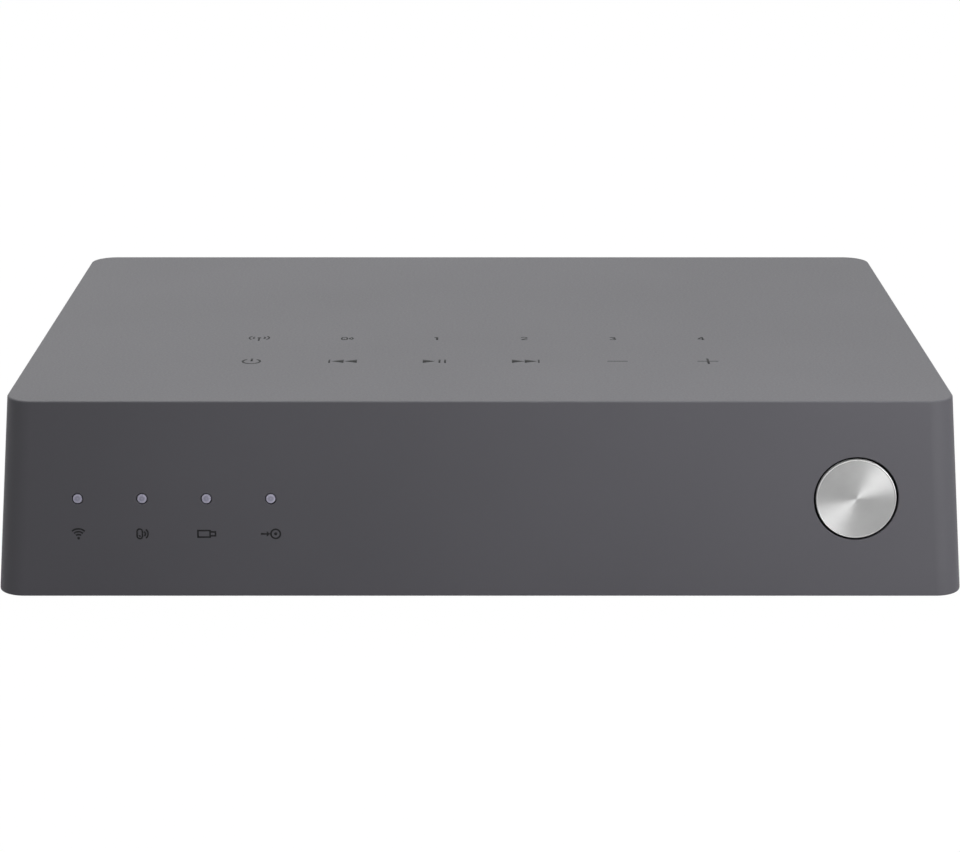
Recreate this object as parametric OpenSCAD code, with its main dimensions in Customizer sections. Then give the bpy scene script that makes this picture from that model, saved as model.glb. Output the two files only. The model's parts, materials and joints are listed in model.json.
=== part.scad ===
// Network music streamer in millimetres: +X to the right, +Y to the back, +Z up.
// The origin is on the floor under the middle of the case, and the front faces -Y.

/* [Case] */
// Width of the case at its bottom rim
body_w = 200; // [190:1:230]
// Depth of the case at its bottom rim
body_d = 140; // [132:1:170]
// Height of the case from its bottom rim to its top
body_h = 41; // [39:0.1:50]
// How far each side leans in between the bottom rim and the top
lean = 3; // [1:0.1:4]
// Radius of the upright corners at the bottom rim
corner_r = 7.5; // [6.5:0.1:10]
// Rounding of the edge round the top
top_edge_r = 0.6; // [0.3:0.1:1]
// Rounding of the bottom rim
rim_edge_r = 0.6; // [0.3:0.1:1]
// Thickness of the side walls
wall = 2.2; // [1.8:0.1:2.8]
// Thickness of the top
top_wall = 2.5; // [2:0.1:3.5]

/* [Base] */
// Thickness of the base plate
base_t = 2.4; // [2:0.1:3.2]
// Gap between the base plate and the walls
base_gap = 0.3; // [0.2:0.05:0.6]
// Depth of the base plate inside the bottom rim
base_recess = 0.3; // [0.2:0.1:1]
// Height of the feet below the rim
foot_h = 1.5; // [1:0.1:4]
// Radius of a foot
foot_r = 7; // [5:0.5:9]
// Depth of the pocket that holds a foot
foot_seat = 0.8; // [0.5:0.1:1.2]
// Distance of a foot's centre from the side
foot_in_x = 24; // [22:1:40]
// Distance of a foot's centre from the front or back
foot_in_y = 20; // [16:1:40]
// Length of a cooling slot
slot_l = 36; // [20:1:44]
// Width of a cooling slot
slot_w = 2.2; // [1.5:0.1:3]
// Cooling slots on each side
slot_count = 9; // [3:1:11]
// Distance from one cooling slot to the next
slot_pitch = 6; // [4:0.5:8]

/* [Front button] */
// Distance of the button's centre from the right side
button_in = 22.9; // [22:0.1:40]
// Height of the button and lights up the front face
row_up = 20.7; // [18:0.1:24]
// Radius of the metal cap
cap_r = 8.2; // [7.5:0.1:9]
// Gap round the cap
cap_gap = 0.5; // [0.3:0.05:0.8]
// Thickness of the cap
cap_t = 1.4; // [1:0.1:1.6]
// How far the cap stands proud of the front
cap_proud = 0.25; // [0.1:0.05:0.6]
// Travel of the button
button_travel = 0.8; // [0.4:0.1:0.9]

/* [Front lights] */
// Distance of the first light from the left side
light_in = 17.5; // [16:0.1:30]
// Distance from one light to the next
light_pitch = 13.2; // [10:0.1:16]
// Number of lights
light_count = 4; // [2:1:5]
// Radius of a light window
lens_r = 0.87; // [0.7:0.01:1]
// Gap round a light window
lens_gap = 0.31; // [0.25:0.01:0.4]

/* [Touch keys] */
// Distance from one key to the next, both ways
key_pitch = 19.6; // [17:0.1:20.5]
// Distance of the front row from the top's front edge
key_in = 31.7; // [28:0.1:40]
// Side of a square electrode
electrode_side = 13; // [8:0.5:15]
// Thickness of the spacer over the touch board
spacer_t = 0.6; // [0.3:0.1:1]
// Thickness of the touch board
touch_board_t = 1.2; // [0.8:0.1:2]

/* [Boards] */
// Thickness of the main and front boards
board_t = 1.6; // [1:0.1:2]
// Width of the main board
main_w = 160; // [150:1:168]
// Depth of the main board
main_d = 75; // [70:1:80]
// Height of the posts under the main board
post_h = 4.5; // [3:0.1:6]
// Height of the front board
front_board_h = 21; // [18:0.5:24]

/* [Rear bay] */
// Depth of the rear bay at the bottom rim
bay_depth = 10.5; // [10:0.1:14]
// Thickness of the rear panel
panel_t = 2; // [1.5:0.1:2.5]
// Distance of the rear window from each side
window_in = 14; // [13:0.5:18]
// Height of the rear window's lower edge above the rim
window_low = 6; // [5.5:0.1:7]
// Height of the rear window's upper edge above the rim
window_high = 31.5; // [28:0.1:33]
// Radius of the rear window's corners
window_r = 2; // [1:0.1:4]

/* [Sockets] */
// Place of the power socket across the back
power_x = 66; // [64:0.5:69]
// Place of the network socket across the back
network_x = 45; // [43:0.5:47]
// Place of the memory socket across the back
memory_x = 24; // [22:0.5:26]
// Place of the optical socket across the back
optical_x = 6; // [4:0.5:8]
// Middle of the line input pair across the back
line_in_x = -19; // [-21:0.5:-17]
// Middle of the line output pair across the back
line_out_x = -52; // [-56:0.5:-50]
// Distance between the two sockets of a line pair
line_pitch = 14.5; // [13:0.1:16]
// Outer radius of a line socket's sleeve
sleeve_r = 4.15; // [4:0.05:4.3]
// Length of a line socket's sleeve beyond its collar
sleeve_l = 8; // [6:0.1:8.2]
// Radius of a line socket's centre hole
line_bore_r = 1.65; // [1.5:0.05:1.8]
// How far the rear sockets stand out of the panel
socket_proud = 0.4; // [0.1:0.05:0.8]

/* [Hidden] */
$fn = 48;
seat = 0.02;       // play where two pieces are face to face
play = 0.05;       // radial play of a screw, sleeve or pin in its hole
slip = 0.3;        // gap of a socket in its panel hole
overlap = 0.5;     // depth by which a post enters its wall
edge_steps = 5;    // facets of a rounded case edge

function lean_at(z) = lean * z / body_h;
draft = atan(lean / body_h);
wall_n = wall * cos(draft);

top_in_z = foot_h + body_h - top_wall;
base_z = foot_h + base_recess;
base_top_z = base_z + base_t;
main_z = base_top_z + post_h;
main_top_z = main_z + board_t;

panel_out_y = body_d / 2 - bay_depth;
panel_in_y = panel_out_y - panel_t;
window_w = body_w - 2 * window_in;
window_low_z = foot_h + window_low;
window_high_z = foot_h + window_high;
window_mid_z = (window_low_z + window_high_z) / 2;
tub_wall = 1.8;
panel_screw_in = 6;
panel_screw_x = window_w / 2 - panel_screw_in;
panel_screw_z = window_high_z - panel_screw_in;

board_gap = 0.5;
main_back_y = panel_in_y - board_gap;
main_front_y = main_back_y - main_d;
main_screw_in = 6;
main_screw_span = 46;
main_screw_x = main_w / 2 - main_screw_in;
main_screw_ys = [main_front_y + main_screw_in, main_front_y + main_screw_in + main_screw_span];
main_screw_bite = 0.8;
main_screw_l = board_t + post_h + main_screw_bite;

boss_r = 3.4;
boss_in = 10;
boss_front_in = 26;
boss_back_in = 11.5;
boss_x = body_w / 2 - boss_in;
boss_ys = [-body_d / 2 + boss_front_in, panel_in_y - boss_back_in];
front_post_r = 3;
front_post_xs = [-20, 40];
boss_gap = 1;
panel_post_w = 8;
panel_post_d = 8;
slot_x = 32;
pilot_spare = 0.5;

screw_r = 1.45;
screw_head_r = 2.8;
screw_head_h = 1.5;
screw_l = 11;
small_screw_r = 1.1;
small_head_r = 2.2;
small_head_h = 1.5;
small_screw_l = 6;

button_x = body_w / 2 - button_in;
button_hole_r = cap_r + cap_gap;
plunger_r = cap_r - 0.7;
plunger_play = 0.06;
guide_r = cap_r + 2.6;
guide_l = 4.5;
guide_rim_r = guide_r + 1.2;
guide_rim_t = 1.5;
cap_relief = 1;
guide_back = wall_n + seat + guide_l;
flange_r = plunger_r + 1.3;
flange_t = 1;
flange_front = guide_back + seat;
nose_r = 2;
nose_l = 1;
stem_r = 1.75;
stem_front = flange_front + flange_t + nose_l;
stem_spare = 0.3;
stem_out = button_travel + stem_spare;
stem_in = 1.5;
switch_side = 6.2;
switch_front = stem_front + stem_out;
switch_floor = 1.2;
switch_h = stem_in + button_travel + switch_floor;
front_board_y = switch_front + switch_h;
front_board_in = 12;
front_board_w = body_w - 2 * front_board_in;

pipe_step = 0.43;
pipe_r = lens_r + pipe_step;
pipe_flange_r = pipe_r + 0.5;
pipe_flange_t = 1;
light_hole_r = lens_r + lens_gap;
light_t = 1;
guide_bar_d = 6;
guide_bar_h = 8;
guide_end = 5;
light_xs = [for (i = [0:light_count - 1]) -body_w / 2 + light_in + i * light_pitch];

key_xs = [for (i = [-2.5:1:2.5]) i * key_pitch];
key_front_y = -body_d / 2 + lean + key_in;
key_ys = [key_front_y, key_front_y + key_pitch];
touch_margin = 4;
touch_w = 6 * key_pitch + touch_margin;
touch_d = 2 * key_pitch + touch_margin;
touch_y = key_front_y + key_pitch / 2;
touch_top_z = top_in_z - spacer_t;
touch_low_z = touch_top_z - touch_board_t;

ribbon_t = 0.3;
ribbon_w = 10;
ribbon_socket_w = 14;
ribbon_socket_d = 5;
ribbon_socket_h = 2;
ribbon_steps = 16;
touch_ribbon_x = 30;
touch_ribbon_back = 12;
touch_ribbon_top_y = touch_y + touch_ribbon_back;
touch_ribbon_in = 24;
touch_ribbon_low_y = main_front_y + touch_ribbon_in;
front_ribbon_x = 5;
front_ribbon_z = 15;
front_ribbon_in = 2;

module_x = -45;
module_in = 20;
module_y = main_front_y + module_in;
module_w = 24;
module_d = 20;
module_t = 1;
coax_r = 1.2;
coax_h = 1.2;
coax_apart = 5;
coax_in = 2.5;
coax_xs = [module_x - coax_apart, module_x + coax_apart];
coax_y = module_y - module_d / 2 + coax_in;
lead_r = 0.55;
lead_z = main_top_z + module_t + coax_h / 2;
antenna_t = 0.4;
antenna_h = 10;
antenna_l = 34;
antenna_front = 10;
antenna_y = module_y - antenna_front;
lead_run = 20;
lead_bow = [36, 6];
antenna_up = 24;

processor_x = 4;
processor_in = 26;
processor_side = 16;
converter_in = 44;
converter_w = 11;
converter_d = 8;
chip_t = 1.6;
capacitor_x = 56;
capacitor_in = 16;
capacitor_pitch = 11;
capacitor_r = 4;
capacitor_h = 10;

socket_y = panel_out_y + socket_proud;
network_w = 16;
insert_recess = 0.3;
network_h = 13.5;
network_d = 21;
network_wall = 0.4;
plug_w = 11.8;
plug_h = 8.2;
plug_d = 14;
plug_floor = 2.2;
plug_low_z = main_top_z + plug_floor;
contact_side = 0.44;
contact_t = 0.35;
contact_l = 10;
contact_pitch = 1.02;
contact_tilt = 11;
contact_in = 2.5;
memory_w = 13.2;
memory_h = 6.4;
memory_d = 14.5;
memory_wall = 0.4;
tongue_w = 11.1;
tongue_t = 1.84;
tongue_l = 9;
tongue_gap = 0.7;
tongue_block = 4;
optical_w = 9.8;
optical_h = 10.2;
optical_d = 14;
optical_open_w = 8.2;
optical_open_h = 7.2;
optical_open_d = 10.5;
optical_floor = 1.5;
optical_open_low_z = main_top_z + optical_floor;
fibre_r = 1.2;
fibre_l = 2.5;
shutter_t = 0.7;
shutter_gap = 0.15;
hinge_r = 0.5;
hinge_barrel_r = 0.7;
hinge_l = optical_open_w + 1;
hinge_z = optical_open_low_z + optical_open_h - hinge_barrel_r - shutter_gap;
hinge_in = 0.9;
hinge_y = panel_out_y + socket_proud - hinge_in;
power_w = 9;
power_h = 11;
power_d = 14;
power_bore_r = 3.1;
power_bore_d = 9.5;
power_pin_r = 1;
power_pin_l = 8.5;
power_up = 6.5;
power_z = main_top_z + power_up;
line_block_w = 28;
line_block_h = 13;
line_block_d = 12;
line_up = 6.5;
line_z = main_top_z + line_up;
line_seat_d = 4;
line_seat_y = panel_in_y - line_seat_d;
line_collar_r = sleeve_r + 1.05;
line_collar_l = 0.6;
line_collar_y = panel_out_y + line_collar_l;
line_flange_r = sleeve_r + 0.65;
line_flange_t = 0.8;
sleeve_wall = 1;
sleeve_in_r = sleeve_r - sleeve_wall;
insulator_recess = 1;
sleeve_tip_y = line_collar_y + sleeve_l;
line_xs = [line_in_x + line_pitch / 2, line_in_x - line_pitch / 2,
           line_out_x + line_pitch / 2, line_out_x - line_pitch / 2];

// Shared shapes

// Rectangle with round corners about the origin
module rounded_rect(w, d, r) {
    square([w - 2 * r, d], center = true);
    square([w, d - 2 * r], center = true);
    for (sx = [-1, 1], sy = [-1, 1])
        translate([sx * (w / 2 - r), sy * (d / 2 - r)]) circle(r);
}

// Box form with leaning sides: outline lists [inset from the rim, height] pairs from the bottom up
module leaning_block(outline) {
    last = len(outline) - 1;
    across = function (half) concat(
        [for (p = outline) [half - p[0], p[1]]],
        [for (i = [last:-1:0]) [outline[i][0] - half, outline[i][1]]]);
    rotate([90, 0, 90])
        linear_extrude(body_w - 2 * corner_r, center = true) polygon(across(body_d / 2));
    rotate([90, 0, 0])
        linear_extrude(body_d - 2 * corner_r, center = true) polygon(across(body_w / 2));
    for (sx = [-1, 1], sy = [-1, 1])
        translate([sx * (body_w / 2 - corner_r), sy * (body_d / 2 - corner_r), 0])
            rotate_extrude()
                polygon(concat([[0, outline[0][1]]],
                               [for (p = outline) [corner_r - p[0], p[1]]],
                               [[0, outline[last][1]]]));
}

// Places children on the leaning front: y runs into the case, z runs up the face from the rim
module on_front() {
    translate([0, -body_d / 2, foot_h]) rotate([-draft, 0, 0]) children();
}

// Places children on a leaning side: x runs across the wall, z runs up the face from the rim
module on_side(side) {
    translate([side * body_w / 2, 0, foot_h]) rotate([0, -side * draft, 0]) children();
}

// Round bar along +Y from y0 to y1
module bar_y(r, y0, y1) {
    translate([0, y0, 0]) rotate([-90, 0, 0]) cylinder(h = y1 - y0, r = r);
}

// Flat outline cut or raised along Y from y0 to y1, standing on the XZ plane
module slab_y(y0, y1) {
    translate([0, y1, 0]) rotate([90, 0, 0]) linear_extrude(y1 - y0) children();
}

// Box between two corners
module box_between(low, high) {
    translate(low) cube(high - low);
}

// Cross recess of a screw head whose top is at z = 0
module cross_recess(r) {
    for (turn = [0, 90])
        rotate(turn) cube([0.5 * r, 1.3 * r, 1.6], center = true);
}

// Screw with a round head above z = 0 and its shank below
module pan_screw(r, l, head_r, head_h) {
    difference() {
        union() {
            cylinder(h = head_h, r = head_r);
            translate([0, 0, -l]) cylinder(h = l, r = r);
        }
        translate([0, 0, head_h]) cross_recess(head_r);
    }
}

// Flat ribbon through points [along, up], standing along X
module ribbon(points, x) {
    last = len(points) - 1;
    side = function (i, s) let (
        a = points[max(i - 1, 0)], b = points[min(i + 1, last)], d = b - a, n = norm(d))
        points[i] + s * ribbon_t / 2 * [-d[1] / n, d[0] / n];
    translate([x, 0, 0]) rotate([90, 0, 90])
        linear_extrude(ribbon_w, center = true)
            polygon(concat([for (i = [0:last]) side(i, 1)], [for (i = [last:-1:0]) side(i, -1)]));
}

function smooth(u) = u * u * (3 - 2 * u);

// Round lead swept along a cubic curve with four control points, never steeper than its side vector
function curve_at(c, t) = pow(1 - t, 3) * c[0] + 3 * pow(1 - t, 2) * t * c[1]
    + 3 * (1 - t) * t * t * c[2] + t * t * t * c[3];
function slope_at(c, t) = pow(1 - t, 2) * (c[1] - c[0]) + 2 * (1 - t) * t * (c[2] - c[1])
    + t * t * (c[3] - c[2]);
module lead(c, r, rings = 24, sides = 8) {
    ring = function (t) let (
        d = slope_at(c, t) / norm(slope_at(c, t)),
        s = cross(d, [0, 0, 1]) / norm(cross(d, [0, 0, 1])),
        u = cross(s, d))
        [for (k = [0:sides - 1]) curve_at(c, t) + r * (cos(360 * k / sides) * s + sin(360 * k / sides) * u)];
    points = [for (i = [0:rings]) each ring(i / rings)];
    walls = [for (i = [0:rings - 1], k = [0:sides - 1])
        let (a = i * sides + k, b = i * sides + (k + 1) % sides)
        each [[a, b, b + sides], [a, b + sides, a + sides]]];
    start = [for (k = [1:sides - 2]) [0, k + 1, k]];
    end = [for (k = [1:sides - 2]) [rings * sides, rings * sides + k, rings * sides + k + 1]];
    polyhedron(points, concat(walls, start, end));
}

// Case

// Outside of the case above the rim, with rounded edges
module case_form() {
    rim = [for (i = [0:edge_steps]) let (t = 90 * i / edge_steps)
        [rim_edge_r * (1 - sin(t)), rim_edge_r * (1 - cos(t))]];
    edge_z = body_h - top_edge_r;
    edge_inset = lean_at(edge_z) + top_edge_r / cos(draft);
    edge = [for (i = [0:edge_steps]) let (t = draft + (90 - draft) * i / edge_steps)
        [edge_inset - top_edge_r * cos(t), edge_z + top_edge_r * sin(t)]];
    leaning_block(concat([for (p = rim) [p[0] + lean_at(p[1]), p[1]]], edge));
}

// Inside of the case, open at the bottom
module cavity_form() {
    cavity_h = body_h - top_wall;
    leaning_block([[wall + lean_at(-1), -1], [wall + lean_at(cavity_h), cavity_h]]);
}

module base_screw_places() {
    for (sx = [-1, 1], y = boss_ys) translate([sx * boss_x, y, 0]) children();
}

module main_screw_places() {
    for (sx = [-1, 1], y = main_screw_ys) translate([sx * main_screw_x, y, 0]) children();
}

module front_screw_places() {
    on_front() for (x = front_post_xs) translate([x, 0, row_up]) children();
}

module panel_screw_places() {
    for (sx = [-1, 1]) translate([sx * panel_screw_x, 0, panel_screw_z]) children();
}

module shell_posts() {
    base_screw_places()
        translate([0, 0, base_top_z + seat]) cylinder(h = top_in_z + overlap - base_top_z, r = boss_r);
    front_screw_places() bar_y(front_post_r, wall_n - overlap, front_board_y - seat);
    panel_screw_places()
        box_between([-panel_post_w / 2, panel_in_y - panel_post_d, -panel_post_w / 2],
                    [panel_post_w / 2, panel_in_y - seat, top_in_z + overlap - panel_screw_z]);
}

module upper_shell() {
    color("dimgray") difference() {
        union() {
            difference() {
                translate([0, 0, foot_h]) case_form();
                translate([0, 0, foot_h]) cavity_form();
            }
            shell_posts();
        }
        on_front() translate([button_x, 0, row_up]) bar_y(button_hole_r, -5, wall_n + 1);
        on_front() for (x = light_xs) translate([x, 0, row_up]) bar_y(light_hole_r, -5, wall_n + 1);
        translate([0, 0, window_mid_z]) slab_y(panel_out_y, body_d)
            rounded_rect(window_w, window_high - window_low, window_r);
        base_screw_places() cylinder(h = base_z + screw_l + pilot_spare, r = screw_r + play);
        front_screw_places()
            bar_y(small_screw_r + play, front_board_y + board_t - small_screw_l - pilot_spare, front_board_y + 1);
        panel_screw_places()
            bar_y(small_screw_r + play, panel_out_y - small_screw_l - pilot_spare, panel_out_y);
    }
}

module base_plate() {
    inset = wall + lean_at(base_recess + base_t) + base_gap;
    color([0.12, 0.12, 0.13]) difference() {
        union() {
            translate([0, 0, base_z]) linear_extrude(base_t)
                rounded_rect(body_w - 2 * inset, body_d - 2 * inset, corner_r - inset);
            main_screw_places() translate([0, 0, base_z + 1]) cylinder(h = main_z - seat - base_z - 1, r = boss_r);
        }
        base_screw_places() {
            translate([0, 0, base_z - 1]) cylinder(h = base_t + 2, r = screw_r + 2 * play);
            translate([0, 0, base_z])
                cylinder(h = screw_head_h, r1 = screw_head_r + 2 * play, r2 = screw_r + 2 * play);
        }
        main_screw_places()
            translate([0, 0, main_top_z - main_screw_l - pilot_spare])
                cylinder(h = main_screw_l, r = small_screw_r + play);
        for (i = [1:4]) foot_place(i)
            cylinder(h = base_z + foot_seat, r = foot_r + 4 * play);
        for (sx = [-1, 1], i = [0:slot_count - 1])
            translate([sx * slot_x, (i - (slot_count - 1) / 2) * slot_pitch, base_z - 1])
                linear_extrude(base_t + 2) rounded_rect(slot_l, slot_w, slot_w / 2 - seat);
    }
}

module foot_place(i) {
    translate([(i % 2 == 0 ? 1 : -1) * (body_w / 2 - foot_in_x), (i > 2 ? 1 : -1) * (body_d / 2 - foot_in_y), 0])
        children();
}

module foot(i) {
    chamfer = 0.5;
    color([0.1, 0.1, 0.1]) foot_place(i) rotate_extrude()
        polygon([[0, 0], [foot_r - chamfer, 0], [foot_r, chamfer], [foot_r, base_z + foot_seat - seat],
                 [0, base_z + foot_seat - seat]]);
}

module base_screws() {
    color("dimgray") base_screw_places() difference() {
        union() {
            translate([0, 0, base_z + play]) cylinder(h = screw_head_h, r1 = screw_head_r, r2 = screw_r);
            translate([0, 0, base_z + screw_head_h]) cylinder(h = screw_l - screw_head_h, r = screw_r);
        }
        translate([0, 0, base_z + play]) cross_recess(screw_head_r);
    }
}

module panel_screws() {
    color("dimgray") panel_screw_places() translate([0, panel_out_y + seat, 0]) rotate([-90, 0, 0])
        pan_screw(small_screw_r, small_screw_l, small_head_r, small_head_h);
}

// Rear bay: a tub behind the window whose floor carries the sockets' holes
module rear_panel() {
    rear_y = function (z) body_d / 2 - wall - lean_at(z - foot_h) - seat;
    low_z = window_low_z - tub_wall;
    high_z = window_high_z + tub_wall;
    color([0.07, 0.07, 0.08]) difference() {
        rotate([90, 0, 90]) linear_extrude(window_w + 2 * tub_wall, center = true)
            polygon([[panel_in_y, low_z], [rear_y(low_z), low_z], [rear_y(high_z), high_z], [panel_in_y, high_z]]);
        translate([0, 0, window_mid_z]) slab_y(panel_out_y, body_d)
            rounded_rect(window_w, window_high - window_low, window_r);
        panel_screw_places() bar_y(small_screw_r + 2 * play, 0, body_d);
        for (x = line_xs) translate([x, 0, line_z]) bar_y(line_collar_r + slip, 0, body_d);
        socket_hole(network_x, network_w, network_h);
        socket_hole(memory_x, memory_w, memory_h);
        socket_hole(optical_x, optical_w, optical_h);
        socket_hole(power_x, power_w, power_h);
    }
}

// Square panel hole for a socket that stands on the main board
module socket_hole(x, w, h) {
    box_between([x - w / 2 - slip, 0, main_top_z - slip], [x + w / 2 + slip, body_d, main_top_z + h + slip]);
}

// Front button, in the frame of the front face

module at_button() {
    on_front() translate([button_x, 0, row_up]) children();
}

module button_cap() {
    bevel = 0.35;
    color("silver") at_button() rotate([-90, 0, 0]) rotate_extrude()
        polygon([[0, -cap_proud], [cap_r - bevel, -cap_proud], [cap_r, bevel - cap_proud],
                 [cap_r, cap_t - cap_proud], [0, cap_t - cap_proud]]);
}

module button_plunger() {
    color([0.08, 0.08, 0.08]) at_button() {
        bar_y(plunger_r, cap_t - cap_proud + seat, flange_front + flange_t);
        bar_y(flange_r, flange_front, flange_front + flange_t);
        bar_y(nose_r, flange_front + flange_t, stem_front - seat);
    }
}

module button_guide() {
    color([0.05, 0.05, 0.05]) at_button() difference() {
        union() {
            bar_y(guide_r, wall_n + seat, guide_back);
            bar_y(guide_rim_r, wall_n + seat, wall_n + seat + guide_rim_t);
        }
        bar_y(plunger_r + plunger_play, 0, guide_back + 1);
        bar_y(button_hole_r, 0, wall_n + cap_relief);
    }
}

module switch_stem() {
    color("ivory") at_button() bar_y(stem_r, stem_front, switch_front + stem_in);
}

module switch_body() {
    color([0.15, 0.15, 0.15]) at_button() difference() {
        box_between([-switch_side / 2, switch_front, -switch_side / 2],
                    [switch_side / 2, front_board_y - seat, switch_side / 2]);
        bar_y(stem_r + play, 0, switch_front + stem_in + button_travel + 0.2);
    }
}

module front_board() {
    color("darkgreen") difference() {
        on_front() box_between([-front_board_w / 2, front_board_y, row_up - front_board_h / 2],
                               [front_board_w / 2, front_board_y + board_t, row_up + front_board_h / 2]);
        front_screw_places() bar_y(small_screw_r + 2 * play, 0, front_board_y + board_t + 1);
    }
}

module front_board_screws() {
    color("silver") front_screw_places()
        translate([0, front_board_y + board_t + seat, 0]) rotate([-90, 0, 0])
            pan_screw(small_screw_r, small_screw_l, small_head_r, small_head_h);
}

// Front lights

// Bar with one bore for each light pipe, standing on the board by two legs
module light_guide() {
    x0 = light_xs[0] - guide_end;
    x1 = light_xs[light_count - 1] + guide_end;
    back = wall_n + guide_bar_d;
    leg_w = 3;
    color([0.06, 0.06, 0.06]) on_front() translate([0, 0, row_up]) difference() {
        union() {
            box_between([x0, wall_n + seat, -guide_bar_h / 2], [x1, back, guide_bar_h / 2]);
            for (x = [x0, x1 - leg_w])
                box_between([x, back - 1, -guide_bar_h / 2], [x + leg_w, front_board_y - seat, guide_bar_h / 2]);
        }
        for (x = light_xs) translate([x, 0, 0]) bar_y(pipe_r + play, 0, back + 1);
    }
}

module light_pipe(i) {
    back = wall_n + guide_bar_d;
    tip = 0.1;
    shoulder = wall_n + overlap;
    color("lightgray") on_front() translate([light_xs[i - 1], 0, row_up]) {
        bar_y(lens_r, tip, shoulder + seat);
        bar_y(pipe_r, shoulder, front_board_y - light_t - 0.2);
        bar_y(pipe_flange_r, back + seat, back + pipe_flange_t);
    }
}

module light(i) {
    side = 2;
    color("white") on_front() translate([light_xs[i - 1], 0, row_up])
        box_between([-side / 2, front_board_y - light_t, -side / 2], [side / 2, front_board_y - seat, side / 2]);
}

// Touch keys under the top

module touch_board() {
    color("darkgreen") translate([0, touch_y, touch_low_z]) linear_extrude(touch_board_t)
        rounded_rect(touch_w, touch_d, 2);
}

module key_places() {
    for (x = key_xs, y = key_ys) translate([x, y, 0]) children();
}

module touch_spacer() {
    color("gray") difference() {
        translate([0, touch_y, touch_top_z + seat]) linear_extrude(spacer_t - 2 * seat)
            rounded_rect(touch_w, touch_d, 2);
        key_places() cube([electrode_side + 1, electrode_side + 1, 4 * top_in_z], center = true);
    }
}

module touch_electrodes() {
    color("orange") key_places() translate([0, 0, touch_top_z + spacer_t / 2])
        cube([electrode_side, electrode_side, spacer_t - 2 * seat], center = true);
}

module touch_ribbon() {
    z0 = touch_low_z - ribbon_socket_h - seat;
    z1 = main_top_z + ribbon_socket_h + seat;
    y0 = touch_ribbon_top_y;
    y1 = touch_ribbon_low_y;
    color("white") ribbon([for (i = [0:ribbon_steps]) let (u = i / ribbon_steps)
        [y0 + (y1 - y0) * smooth(u), z0 + (z1 - z0) * u]], touch_ribbon_x);
}

// Main board and what stands on it

module main_board() {
    color("darkgreen") difference() {
        translate([0, (main_front_y + main_back_y) / 2, main_z]) linear_extrude(board_t)
            rounded_rect(main_w, main_d, 2);
        main_screw_places() cylinder(h = main_top_z + 1, r = small_screw_r + 2 * play);
        base_screw_places() cylinder(h = main_top_z + 1, r = boss_r + boss_gap);
    }
}

module main_board_screws() {
    color("silver") main_screw_places() translate([0, 0, main_top_z + seat])
        pan_screw(small_screw_r, main_screw_l, small_head_r, small_head_h);
}

module front_ribbon() {
    y0 = front_socket_back_y();
    y1 = main_front_y + front_ribbon_in - seat;
    z1 = main_top_z + ribbon_socket_h / 2;
    color("white") ribbon([for (i = [0:ribbon_steps]) let (u = i / ribbon_steps)
        [y0 + (y1 - y0) * u, front_ribbon_z + (z1 - front_ribbon_z) * smooth(u)]], front_ribbon_x);
}

// Back of the front board's ribbon socket, in the middle of its height
function front_socket_back_y() = let (
    depth = front_board_y + board_t + ribbon_socket_h,
    up = (front_ribbon_z - foot_h + depth * sin(draft)) / cos(draft))
    -body_d / 2 + depth * cos(draft) + up * sin(draft) + 2 * seat;

// Flat boxes that take the ends of the ribbons
module ribbon_sockets() {
    half = [ribbon_socket_w / 2, ribbon_socket_d / 2];
    front_up = (front_ribbon_z - foot_h + (front_board_y + board_t) * sin(draft)) / cos(draft);
    color("ivory") {
        translate([touch_ribbon_x, touch_ribbon_top_y, touch_low_z - seat])
            box_between([-half[0], -half[1], -ribbon_socket_h], [half[0], half[1], 0]);
        translate([touch_ribbon_x, touch_ribbon_low_y, main_top_z + seat])
            box_between([-half[0], -half[1], 0], [half[0], half[1], ribbon_socket_h]);
        translate([front_ribbon_x, main_front_y + front_ribbon_in + half[1], main_top_z + seat])
            box_between([-half[0], -half[1], 0], [half[0], half[1], ribbon_socket_h]);
        on_front() translate([front_ribbon_x, front_board_y + board_t + seat, front_up])
            box_between([-half[0], 0, -half[1]], [half[0], ribbon_socket_h, half[1]]);
    }
}

module wireless_module() {
    color("navy") {
        translate([module_x - module_w / 2, module_y - module_d / 2, main_top_z + seat])
            cube([module_w, module_d, module_t - seat]);
        for (x = coax_xs) translate([x, coax_y, main_top_z + module_t - seat]) cylinder(h = coax_h, r = coax_r);
    }
}

module wireless_shield() {
    margin = 2;
    height = 2.4;
    front = coax_y + coax_r + 1;
    color("silver") box_between(
        [module_x - module_w / 2 + margin, front, main_top_z + module_t + seat],
        [module_x + module_w / 2 - margin, module_y + module_d / 2 - 1, main_top_z + module_t + height]);
}

// Flat aerial on the inner face of a side wall
module antenna(side) {
    inner = wall_n + seat;
    color("orange") on_side(side) translate([-side * (inner + antenna_t / 2), antenna_y, antenna_up])
        cube([antenna_t, antenna_l, antenna_h], center = true);
}

module antenna_left() { antenna(-1); }
module antenna_right() { antenna(1); }

// Lead from the module's socket to the middle of an aerial
module antenna_lead(side) {
    start = [coax_xs[side > 0 ? 1 : 0], coax_y - coax_r - seat, lead_z];
    depth = wall_n + antenna_t + 3 * seat;
    end = [side * (body_w / 2 - depth * cos(draft) - antenna_up * sin(draft) - 2 * lead_r * sin(draft)),
           antenna_y, foot_h + antenna_up * cos(draft) - depth * sin(draft)];
    color([0.2, 0.2, 0.2])
        lead([start, start - [0, lead_run, 0], end - [side * lead_bow[0], lead_bow[1], 0], end], lead_r);
}

module antenna_lead_left() { antenna_lead(-1); }
module antenna_lead_right() { antenna_lead(1); }

module chip(x, y, w, d) {
    color([0.1, 0.1, 0.1]) translate([x - w / 2, y - d / 2, main_top_z + seat]) cube([w, d, chip_t]);
}

module processor() { chip(processor_x, main_front_y + processor_in, processor_side, processor_side); }
module converter() { chip(line_out_x, main_front_y + converter_in, converter_w, converter_d); }

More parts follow.
